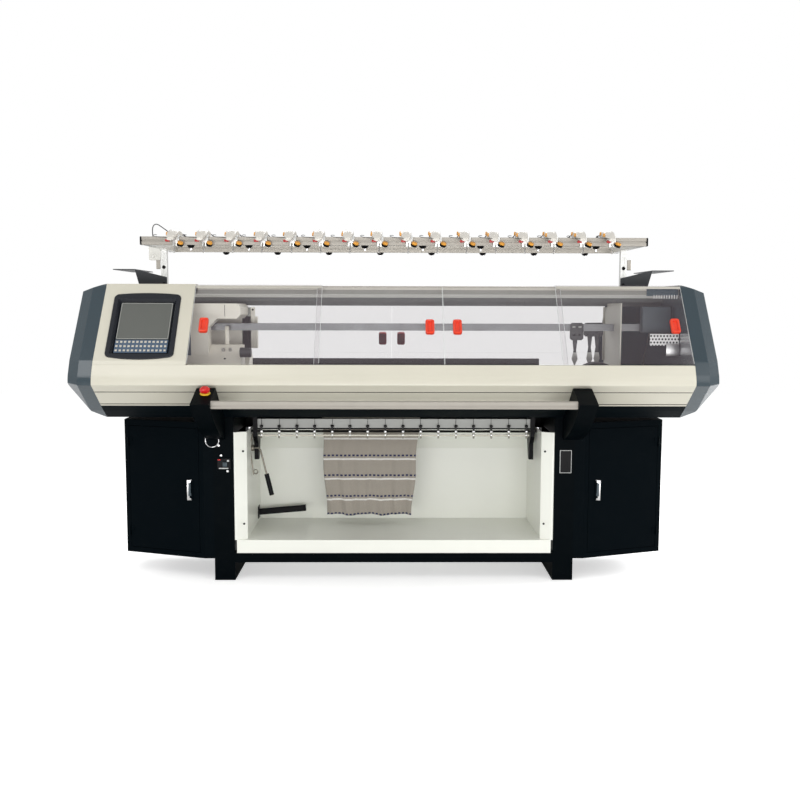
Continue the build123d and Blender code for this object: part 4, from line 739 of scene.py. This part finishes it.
# The arms of the nine units at the left lean to the right, the others to the left.
RIGHT_LEANING = 9
arms = joined([repeated(rear_arm(0.018), SHELL_OFFSETS[:RIGHT_LEANING]),
               repeated(rear_arm(-0.018), SHELL_OFFSETS[RIGHT_LEANING:])])
shells = fixed("unit_shells", at_shells(unit_shell()), UNIT_SHELL, 60)
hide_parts("tension_units")
fixed("unit_clamps", repeated(CLAMP, UNIT_OFFSETS), ALUMINIUM)
fixed("unit_wires", at_shells(WIRE), CARRIER_DARK, 80)
fixed("unit_arms", arms, BLACK_PLASTIC, 80)
for name, part, material in (("cups", DISH, BLACK_PLASTIC), ("discs", DISC, AMBER),
                             ("knobs", CHEEK_KNOBS, AMBER), ("guides", GUIDE_FOOT, DEEP_RED)):
    fixed(f"unit_{name}", at_shells(part), material)

# Yarn guides under both beams: a shallow black bowl with a short neck, and a bright eyelet.
BOWL = [(0.004, 0.0), (0.0165, -0.001), (0.0165, -0.004), (0.012, -0.01), (0.006, -0.013)]
EYELET = [(0.003, -0.0125), (0.0034, -0.02), (0.0022, -0.024)]
places = [(x - shift, y + Y_SHIFT, BEAM_LOW) for shift, y in zip((0.067, 0.005), BEAM_MIDDLES)
          for x in UNIT_X[1::2]]
cups = joined([turned(BOWL, place, (0, 0, 1), 18) for place in places])
tips = joined([turned(EYELET, place, (0, 0, 1), 12) for place in places])
fixed("guide_cups", cups, BLACK_PLASTIC)
fixed("guide_tips", tips, CHROME)


# Cable as a smooth arch: up out of the junction box and over to the first tension unit.
CABLE = tube(on_path([(-1.128, 0.1, 1.524), (-1.13, 0.06, 1.56), (-1.11, -0.02, 1.598),
                      (-1.07, -0.11, 1.604), (-1.02, -0.18, 1.578), (-0.985, -0.212, 1.5545)],
                     44), 0.0023, 8)
beam_ends = [((x, y, 1.522), (0.008, 0.031, 0.037), 0.003, 2)
             for x in (-1.1085, 1.1085) for y in BEAM_MIDDLES]
fixed("beam_end_caps", drawn_blocks(beam_ends), BLACK_PLASTIC)
fixed("rack_cable", part_frame(CABLE), BLACK_PLASTIC, 80)


def bolt_heads(places, axis, radius=0.006, height=0.004):
    """Domed screw heads: one low turned profile at each place, facing along an axis."""
    profile = [(radius, 0.0), (radius, height * 0.55), (radius * 0.72, height),
               (radius * 0.3, height * 1.05)]
    return part_frame(joined([turned(profile, place, axis, 16) for place in places]))


posts = [(x, 0.094, z) for z in (1.421, 1.345) for x in (-1.09, 1.09)]
fixed("post_bolts", bolt_heads(posts, TO_FRONT, 0.0085), BLACK_PLASTIC)


# ---------------------------------------------------------------- cloth

# Heights of the needle gap, of the roller where the folds start, and of the hem.
CLOTH_TOP = 0.946
CLOTH_BREAK = 0.714
CLOTH_LOW = 0.2535
# Depth of the sheet's middle: the roller's middle, less its radius and the sheet's clearance.
CLOTH_Y = 0.027 - 0.026 - 0.0011 + Y_SHIFT
CLOTH_LEFT = -0.339
CLOTH_RIGHT = 0.12
FLAT_WIDTH = 0.459
FLAT_LENGTH = 0.696
PALE_STRIPES = (0.6155, 0.5175, 0.4225, 0.3235)
NAVY_STRIPES = (0.631, 0.535, 0.44, 0.341, 0.2545)


def knitted_panel(columns=150, rows=170):
    """Hanging sheet: (u, v) across and down; folds are sines whose depth grows below the roller,
    and the width draws in by what the folds take up."""
    u, v = np.meshgrid(np.linspace(0, 1, columns), np.linspace(0, 1, rows))
    z = CLOTH_TOP + (CLOTH_LOW - CLOTH_TOP) * v
    below = np.clip((CLOTH_BREAK - z) / (CLOTH_BREAK - CLOTH_LOW), 0, 1)
    left = CLOTH_LEFT + 0.02 * below**1.2 + 0.004 * np.sin(9 * below)
    right = CLOTH_RIGHT - 0.036 * below**1.1 + 0.004 * np.sin(11 * below + 1)
    x = left + (right - left) * u
    phase = 2 * np.pi * (5.2 * u + 0.25 * np.sin(3.0 * below)) + 0.6
    wave = np.cos(phase) + 0.35 * np.cos(2.3 * phase + 1.0 + 2 * below)
    depth = 0.0072 * below**1.05
    y = CLOTH_Y - 0.0012 - 0.0078 * below**1.1 + depth * wave * 0.95
    hem = 0.004 * below**6 * np.sin(2 * np.pi * 2.6 * u)
    points = np.stack([x, y, z + hem], axis=-1)
    uv = np.stack([FLAT_WIDTH * u, CLOTH_TOP - FLAT_LENGTH * v], axis=-1)
    return surface(points), uv.reshape(-1, 2)


def knit_material(wales=340.0, courses=420.0, dashes=49.0):
    """Jersey by UV metres: columns of V loops for height, heather, pale courses and navy dashes, and
    painted shade in the hollows between loops.
    Wales, courses and dashes are counted to the metre."""
    made, tree, shader, _ = start_material("knitted_jersey", Sheen_Weight=0.3, Roughness=0.85)
    compute = calculator(tree)
    place = node(tree, "ShaderNodeUVMap", uv_map="UVMap").outputs[0]
    parts = node(tree, SEPARATE, in_0=place)
    across, height = parts.outputs["X"], parts.outputs["Y"]

    zigzag = compute("PINGPONG", compute("MULTIPLY", across, wales), 0.5)
    course = compute("MULTIPLY_ADD", zigzag, 0.9, compute("MULTIPLY", height, courses))
    loop = compute("MULTIPLY", compute("PINGPONG", course, 0.5), 2.0)
    relief = compute("MULTIPLY", loop, compute("SUBTRACT", 1.15, compute("MULTIPLY", zigzag, 2.0)))
    with_height(tree, shader, relief, 0.55, 0.0012)

    stretch = node(tree, "ShaderNodeMapping", in_Vector=place, in_Scale=(0.25, 1.0, 1.0))
    heather = node(tree, NOISE, in_Vector=stretch.outputs[0], in_Scale=900.0, in_Detail=3.0)
    ground = mixed(tree, heather.outputs["Fac"], (0.24, 0.215, 0.18, 1), (0.5, 0.455, 0.39, 1))

    def band(centres, half):
        """Socket that is 1 within half of any of the centre heights."""
        total = None
        for centre in centres:
            away = compute("ABSOLUTE", compute("SUBTRACT", height, centre))
            inside = compute("LESS_THAN", away, half)
            total = inside if total is None else compute("MAXIMUM", total, inside)
        return total

    pale = mixed(tree, band(PALE_STRIPES, 0.004), ground, (0.78, 0.76, 0.72, 1))
    dash = compute("LESS_THAN", compute("FRACT", compute("MULTIPLY", across, dashes)), 0.6)
    marks = compute("MULTIPLY", dash, band(NAVY_STRIPES, 0.0042))
    marked = mixed(tree, marks, pale, (0.012, 0.017, 0.08, 1))
    # Painted shade: the colour is darkened where the loop relief is low, in the hollows between
    # loops.
    painted_loop_shade = compute("MULTIPLY_ADD", relief, 0.45, 0.72)
    tree.links.new(mixed(tree, 1.0, marked, painted_loop_shade, "MULTIPLY"), shader.inputs["Base Color"])
    return made


cloth_part, cloth_uv = knitted_panel()
cloth = piece("knitted_cloth", cloth_part, "machine", knit_material(), 180, cloth_uv)
thick = cloth.modifiers.new("cloth_thickness", "SOLIDIFY")
thick.thickness = 0.0012
thick.offset = 0.0
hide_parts("fabric")


# ---------------------------------------------------------------- stop button ring

BRACKET_OUT = np.array([0.0, -0.3546, 0.935])
BRACKET_DOWN = np.array([0.0, -0.935, -0.3546])
BUTTON_FOOT = np.array([-0.79, -0.452 + Y_SHIFT, 0.893]) + 0.052 * BRACKET_DOWN
ring_profile = [(0.0104, 0.0), (0.0215, 0.0), (0.0215, 0.003), (0.019, 0.0055), (0.0104, 0.0055)]
fixed("stop_ring", hollow_turned(ring_profile, BUTTON_FOOT, BRACKET_OUT), STOP_YELLOW)


# ---------------------------------------------------------------- carriage and beds


def knob(place, axis, radius, height):
    """Small turned knob with a domed end."""
    profile = [(radius, 0.0), (radius, height * 0.7), (radius * 0.8, height),
               (radius * 0.35, height * 1.1)]
    return part_frame(turned(profile, place, axis, 16))


CAM_OUT = (0.0, -0.603, 0.797)
PLATE_Z, PLATE_HEIGHT = 1.1365, 0.193
STRIP_X = -0.6695
COLUMN_Z = 1.097
# side_shadow is painted shade: a dark sheet over the left part of the carriage column, where the gap
# beside the column lies in shade.
side_shadow = ((-0.963, -0.1512, COLUMN_Z), (0.09, 0.002, 0.188), 0.0008, 1)
rear_plate = ((-0.6905, 0.0765, PLATE_Z), (0.063, 0.003, PLATE_HEIGHT), 0.0012, 1)
bolted_strip = ((STRIP_X, 0.0735, PLATE_Z), (0.021, 0.003, PLATE_HEIGHT), 0.0012, 1)
pillar = ((-0.7675, -0.07, 1.105), (0.017, 0.017, 0.084), 0.003, 2)
column_edge = ((-0.842, -0.1505, COLUMN_Z), (0.006, 0.003, 0.16), 0.0012, 1)
seam = ((-0.764, -0.1502, 1.218), (0.002, 0.0012, 0.052), 0.0004, 1)
for name, blocks, slot, material in (
    ("carriage_painted_shade", [side_shadow], "motor_dark", LINING_AND_SHADE),
    ("carriage_plate", [rear_plate], "carriage_beige", CAM_COAT),
    ("carriage_strips", [bolted_strip, pillar, column_edge], "carriage_beige", CARRIAGE_COAT),
):
    piece(name, drawn_blocks(blocks), "carriage", material)
cam_marks = [drawn_blocks([seam]), knob((-0.763, -0.1705, 1.0022), CAM_OUT, 0.005, 0.0015)]
cam_marks += [knob((STRIP_X, 0.0722, z), TO_FRONT, 0.005, 0.003) for z in (1.222, 1.15)]
piece("carriage_marks", joined(cam_marks), "carriage", BLACK_PLASTIC)
solenoid = turned([(0.02, 0.0), (0.0225, 0.002), (0.0225, 0.048), (0.02, 0.05)],
                  (-0.6925, -0.182, 1.0315), (1, 0, 0), 28)
piece("carriage_cylinder", part_frame(solenoid), "carriage", MOTOR_DARK)
knobs = [knob((x, -0.1245, 1.037), CAM_OUT, 0.0085, 0.012) for x in (-0.777, -0.745)]
piece("carriage_knobs", joined(knobs), "carriage", SILVER)

sinker = ((0.0085, -0.017, 0.973), (1.337, 0.013, 0.05), 0.002, 2)
fixed("sinker_bar", drawn_blocks([sinker]), MOTOR_DARK)

for number, x, y in ((1, 0.846, -0.0488), (2, 0.916, -0.0172), (3, 0.951, 0.0112)):
    body = f"carrier_{number}"
    slots = [((x + side * 0.014, y, 1.146), (0.014, 0.0016, 0.008), 0.0006, 1) for side in (-1, 1)]
    screws = [knob((x + side * 0.013, y, 1.11), TO_FRONT, 0.0048, 0.005) for side in (-1, 1)]
    piece(f"carrier_slots_{number}", drawn_blocks(slots), body, STRIP_GREY)
    piece(f"carrier_screws_{number}", joined(screws), body, BLACK_PLASTIC)


# ---------------------------------------------------------------- ends of the head

REAR_LINE = [(0.163, 1.318), (0.252, 1.194), (0.341, 1.07), (0.4, 0.988), (0.404, 0.935)]
for side, x_low, x_high in (("right", 1.034, 1.277), ("left", -1.277, -1.04)):
    lining = bent_sheet(REAR_LINE, -0.002, x_low, x_high)
    fixed(f"end_lining_{side}", part_frame(lining), LINING_AND_SHADE)
valance = ((1.2055, -0.163, 1.305), (0.143, 0.0024, 0.034), 0.001, 1)
end_box = ((1.205, -0.06, 1.18), (0.13, 0.05, 0.12), 0.004, 2)
punched = ((1.2125, -0.19, 1.092), (0.131, 0.003, 0.054), 0.0012, 1)
fixed("end_valance", drawn_blocks([valance]), LINING_AND_SHADE)
fixed("end_box", drawn_blocks([end_box]), END_BOX)
fixed("punched_plate", drawn_blocks([punched]), PUNCHED)
bright_plate = rounded_block((1.2485, -0.2, 1.046), (0.058, 0.004, 0.052), 0.0015, 2)
bright_lip = rounded_block((1.2485, -0.196, 1.0735), (0.058, 0.012, 0.003), 0.001, 1)
teeth = block_row(1.166 + 0.0115 * np.arange(10), -0.17, 1.284, (0.005, 0.004, 0.018), 0.0012)
fixed("end_fittings", part_frame(joined([bright_plate, bright_lip, teeth])), SILVER)
rail_end = ((-0.9125, -0.154, 1.3125), (0.067, 0.012, 0.026), 0.003, 2)
fixed("rail_block", drawn_blocks([rail_end]), RAIL_ALUMINIUM)


# ---------------------------------------------------------------- console

CONSOLE_X = -1.088
KEY_ROWS, KEY_COLUMNS = 3, 13
KEY_PITCH_ACROSS = 0.226 / 13
KEY_PITCH_DOWN = 0.022
KEYPAD_TOP = 0.098 + 0.0045 + 0.192
keys_across = CONSOLE_X + KEY_PITCH_ACROSS * (np.arange(KEY_COLUMNS) - 6.0)
keys_down = KEYPAD_TOP + KEY_PITCH_DOWN * (np.arange(KEY_ROWS) + 0.5)
key = rounded_block((0, 0, 0), (0.0098, 0.0098, 0.0022), 0.0008, 2)
key_grid = np.meshgrid(keys_across, -keys_down, [-0.006], indexing="ij")
keys = repeated(key, np.stack(key_grid, axis=-1).reshape(-1, 3))
fixed("console_keys", onto_slope(keys), KEY_CAP)


# Thin raised line round the screen: outer and inner rectangles, low and high.
SCREEN_MIDDLE = 0.0995 + 0.096
LINE_BAR = 0.0022
LINE_LOW, LINE_HIGH = -0.0068, -0.0056
line_steps = [(0, LINE_LOW), (0, LINE_HIGH), (LINE_BAR, LINE_HIGH), (LINE_BAR, LINE_LOW)]
line_rings = slope_rings(CONSOLE_X, SCREEN_MIDDLE, 0.223, 0.189, 0.006, 0.001, line_steps)
screen_line = surface(line_rings, close_rows=True, close_columns=True)
fixed("screen_line", screen_line, STRIP_GREY)

# Black strips lying in both grooves of the front cover, and the same behind: painted shade that
# draws the grooves as dark lines.
GROOVES = ((-0.40684, 0.8725), (-0.32882, 0.81375))
groove_shade_strips = drawn_blocks([((0.0, y + 0.0003, z + 0.0004), (2.558, 0.0036, 0.0036), 0.0012, 1)
                      for y, z in GROOVES])
fixed("cover_groove_shade", joined([groove_shade_strips, to_rear(groove_shade_strips)]), RUBBER_AND_GROOVE_SHADE)


# ---------------------------------------------------------------- takedown

gap_plates = [((side * 0.687, 0.15, 0.7), (0.072, 0.003, 0.096), 0.001, 1) for side in (-1, 1)]
fixed("gap_plates", drawn_blocks(gap_plates), TAKEDOWN_BLACK)
LEVERS = 16
LEVER_PITCH = 0.082
LEVER_X = LEVER_PITCH * (np.arange(LEVERS) - 7.5)
PLATE_X = LEVER_PITCH * (np.arange(LEVERS - 1) - 7.0)
STRIP_Y, STRIP_Z = -0.0648, 0.697
strip = block_row(PLATE_X, STRIP_Y, STRIP_Z, (0.08, 0.0014, 0.042), 0.0005)
strip_ends = block_row((-0.6265, 0.6265), STRIP_Y, STRIP_Z, (0.02, 0.0014, 0.042), 0.0005)
fixed("takedown_strip", part_frame(joined([strip, strip_ends])), STRIP_GREY)
edge_bar = ((0.0, -0.0615, 0.672), (1.272, 0.004, 0.0055), 0.001, 1)
clips = block_row(LEVER_X, -0.08, 0.686, (0.015, 0.008, 0.011), 0.003, 2)
fixed("takedown_edge", drawn_blocks([edge_bar]), TAKEDOWN_BLACK)
piece("lever_clips", part_frame(clips), "press_shaft", TAKEDOWN_BLACK)
hook = [(-0.656, -0.074, 0.648), (-0.668, -0.078, 0.581), (-0.661, -0.079, 0.52),
        (-0.654, -0.079, 0.458)]
hanger = tube(on_path(hook, 24), 0.0034, 8)
eye = torus((-0.6435, -0.079, 0.472), 0.0095, 0.0024, (0, 1, 0), 24, 8)
fixed("takedown_hanger", part_frame(joined([hanger, eye])), ROD_METAL)
collars = block_row(LEVER_X, -0.074, 0.661, (0.013, 0.019, 0.013), 0.004, 2)
low_collars = block_row(LEVER_X, -0.079, 0.644, (0.011, 0.011, 0.012), 0.0035, 2)
rod_collars = part_frame(joined([collars, low_collars]))
piece("rod_collars", rod_collars, "press_shaft", SILVER)

GRIP_TOP = np.array([-0.593, -0.078, 0.459])
GRIP_WAY = np.array([0.029, -0.015, -0.11]) / 0.1147
share = np.linspace(0, 1, 40)
end_taper = 0.003 * (np.abs(2 * share - 1) > 0.96)
grip_radius = 0.0104 + 0.0009 * np.abs(np.sin(9 * np.pi * share)) - end_taper
grip = tube(GRIP_TOP + (-0.004 + 0.104 * share[:, None]) * GRIP_WAY, grip_radius, 18)
piece("release_grip", part_frame(grip), "release_handle", BLACK_PLASTIC, 60)


# ---------------------------------------------------------------- legs, cabinets and rack fittings

liner_screws = [(side * x, -0.229, z) for side in (-1, 1)
                for x, z in ((0.678, 0.591), (0.677, 0.26))]
liner_heads = bolt_heads(liner_screws, TO_FRONT, 0.0048, 0.0025)
fixed("liner_screws", liner_heads, BLACK_PLASTIC)
ring = torus((-0.815, -0.2335, 0.64), 0.03, 0.0026, (0, 1, 0), 40, 8)
fixed("leg_ring", part_frame(ring), CHROME)
bolts = [(-0.776, -0.231, 0.572), (-0.748, -0.231, 0.501), (-0.786, -0.232, 0.617)]
fixed("leg_bolts", bolt_heads(bolts, TO_FRONT, 0.0062, 0.004), SILVER)

MARK_Y = -0.2465
marks = [((-0.763, MARK_Y, 0.516), (0.042, 0.002, 0.005), 0.0006, 1),
         ((-0.743, MARK_Y, 0.55), (0.01, 0.002, 0.0085), 0.0006, 1)]
toggle = [((-0.757, -0.2475, 0.534), (0.02, 0.006, 0.02), 0.002, 2),
          ((-0.757, -0.252, 0.54), (0.01, 0.008, 0.006), 0.0015, 2)]
red_mark = ((-0.783, MARK_Y, 0.5545), (0.013, 0.002, 0.0045), 0.0006, 1)
plate_rim = ((0.7715, -0.2318, 0.545), (0.053, 0.0016, 0.104), 0.0006, 1)
plate_face = ((0.7715, -0.2326, 0.545), (0.048, 0.0016, 0.099), 0.0006, 1)
for name, blocks, slot, material in (
    ("breaker_marks", marks, "tension_plastic", LABEL_PLATE),
    ("breaker_toggle", toggle, "tension_plastic", END_BOX),
    ("breaker_red", [red_mark], "button_red", STOP_RED),
    ("leg_plate_rim", [plate_rim], "rail_aluminium", LABEL_PLATE),
    ("leg_plate_face", [plate_face], "frame_black", BLACK_PLASTIC),
):
    fixed(name, drawn_blocks(blocks), material)

# Doors stand at the cabinets' front angle, with the lock plate and its latch on their face.
DOOR_TURN = math.radians(19.04)
DOOR_Y = -0.1361
for side, name in ((-1, "left"), (1, "right")):
    plate = swung(rounded_block((0, 0, 0), (0.027, 0.003, 0.093), 0.0012, 2), -side * DOOR_TURN,
                  (side * 0.92225, DOOR_Y - 0.0012, 0.411))
    latch = swung(rounded_block((0, 0, 0), (0.013, 0.004, 0.06), 0.0016, 2), -side * DOOR_TURN,
                  (side * 0.92305, DOOR_Y - 0.0036, 0.413))
    piece(f"door_lock_{name}", plate, f"door_{name}", SILVER)
    piece(f"door_latch_{name}", latch, f"door_{name}", END_BOX)

strips = [((side * 1.116, 0.094, 1.436), (0.02, 0.006, 0.048), 0.0015, 1) for side in (-1, 1)]
fixed("post_strips", drawn_blocks(strips), BEAM_METAL)
box_knob = knob((-1.128, 0.06, 1.47), TO_FRONT, 0.0065, 0.006)
fixed("box_knob", box_knob, BOX_PLASTIC)


# ---------------------------------------------------------------- stage

CAMERA_X = -0.019
CAMERA_Y = -4.452 + Y_SHIFT
CAMERA_Z = 1.236
CAMERA_PITCH = math.radians(5.59)
CAMERA_YAW = math.radians(0.6)
CAMERA_ROLL = math.radians(0.14)

camera_data = bpy.data.cameras.new("photo_camera")
camera_data.lens = 42.75
camera_data.sensor_width = 36.0
camera = bpy.data.objects.new("photo_camera", camera_data)
bpy.context.scene.collection.objects.link(camera)
level = Matrix.Rotation(math.pi / 2 - CAMERA_PITCH, 4, "X")
turn = Matrix.Rotation(-CAMERA_YAW, 4, "Z")
roll = Matrix.Rotation(CAMERA_ROLL, 4, "Z")
camera.matrix_world = Matrix.Translation((CAMERA_X, CAMERA_Y, CAMERA_Z)) @ turn @ level @ roll
bpy.context.scene.camera = camera


def area_lamp(name, place, target, size, power):
    """Soft white rectangular lamp that faces a target point."""
    data = bpy.data.lights.new(name, "AREA")
    data.shape = "RECTANGLE"
    data.size, data.size_y = size
    data.energy = power
    lamp = bpy.data.objects.new(name, data)
    lamp.location = place
    lamp.rotation_euler = (Vector(target) - Vector(place)).to_track_quat("-Z", "Y").to_euler()
    bpy.context.scene.collection.objects.link(lamp)


area_lamp("key_lamp", (-2.6, -3.6, 4.2), (0, 0, 0.9), (3.0, 2.0), 48)
area_lamp("fill_lamp", (3.2, -3.2, 2.6), (0, 0, 0.8), (2.5, 2.5), 30)
area_lamp("low_lamp", (0.0, -4.8, 0.5), (0, 0, 0.6), (4.4, 0.8), 80)
area_lamp("right_rim", (4.2, 1.3, 1.4), (1.3, 0, 1.0), (2.2, 2.2), 170)
area_lamp("left_rim", (-4.2, 1.3, 1.4), (-1.3, 0, 1.0), (2.2, 2.2), 60)
area_lamp("rear_lamp", (0.0, 3.4, 3.4), (0, 0, 1.0), (4.0, 1.5), 60)


def seen(tree):
    """Socket that is 1 where the camera looks, by itself or through a clear sheet."""
    path = node(tree, "ShaderNodeLightPath").outputs
    return calculator(tree)("MAXIMUM", path["Is Camera Ray"], path["Is Transmission Ray"])


def white_world():
    """Soft pale light from all round, and plain white where it is seen."""
    world = bpy.data.worlds.new("studio")
    world.use_nodes = True
    tree = world.node_tree
    tree.nodes.clear()
    soft = node(tree, "ShaderNodeBackground", in_Color=(1, 1, 1, 1), in_Strength=0.62)
    white = node(tree, "ShaderNodeBackground", in_Color=(1, 1, 1, 1), in_Strength=1.0)
    mix = node(tree, "ShaderNodeMixShader", in_0=seen(tree), in_1=soft.outputs[0],
               in_2=white.outputs[0])
    node(tree, "ShaderNodeOutputWorld", in_Surface=mix.outputs[0])
    bpy.context.scene.world = world


white_world()


def floor_material():
    """White floor: it takes the shadow as a tint and is otherwise as white as the backdrop."""
    made, tree, shader, _ = start_material("studio_floor", Base_Color=(0.86, 0.86, 0.86, 1),
                                           Roughness=0.9, Specular_IOR_Level=0.0,
                                           Emission_Color=(0.5, 0.5, 0.5, 1))
    tree.links.new(seen(tree), shader.inputs["Emission Strength"])
    return made


floor_mesh = bpy.data.meshes.new("studio_floor")
# The floor lies a millimetre low, so that it never meets the feet.
corners = [(-9, -7, -0.001), (9, -7, -0.001), (9, 9, -0.001), (-9, 9, -0.001)]
floor_mesh.from_pydata(corners, [], [(0, 1, 2, 3)])
floor_mesh.materials.append(floor_material())
floor = bpy.data.objects.new("studio_floor", floor_mesh)
bpy.context.scene.collection.objects.link(floor)

bpy.context.scene.view_settings.view_transform = "Standard"
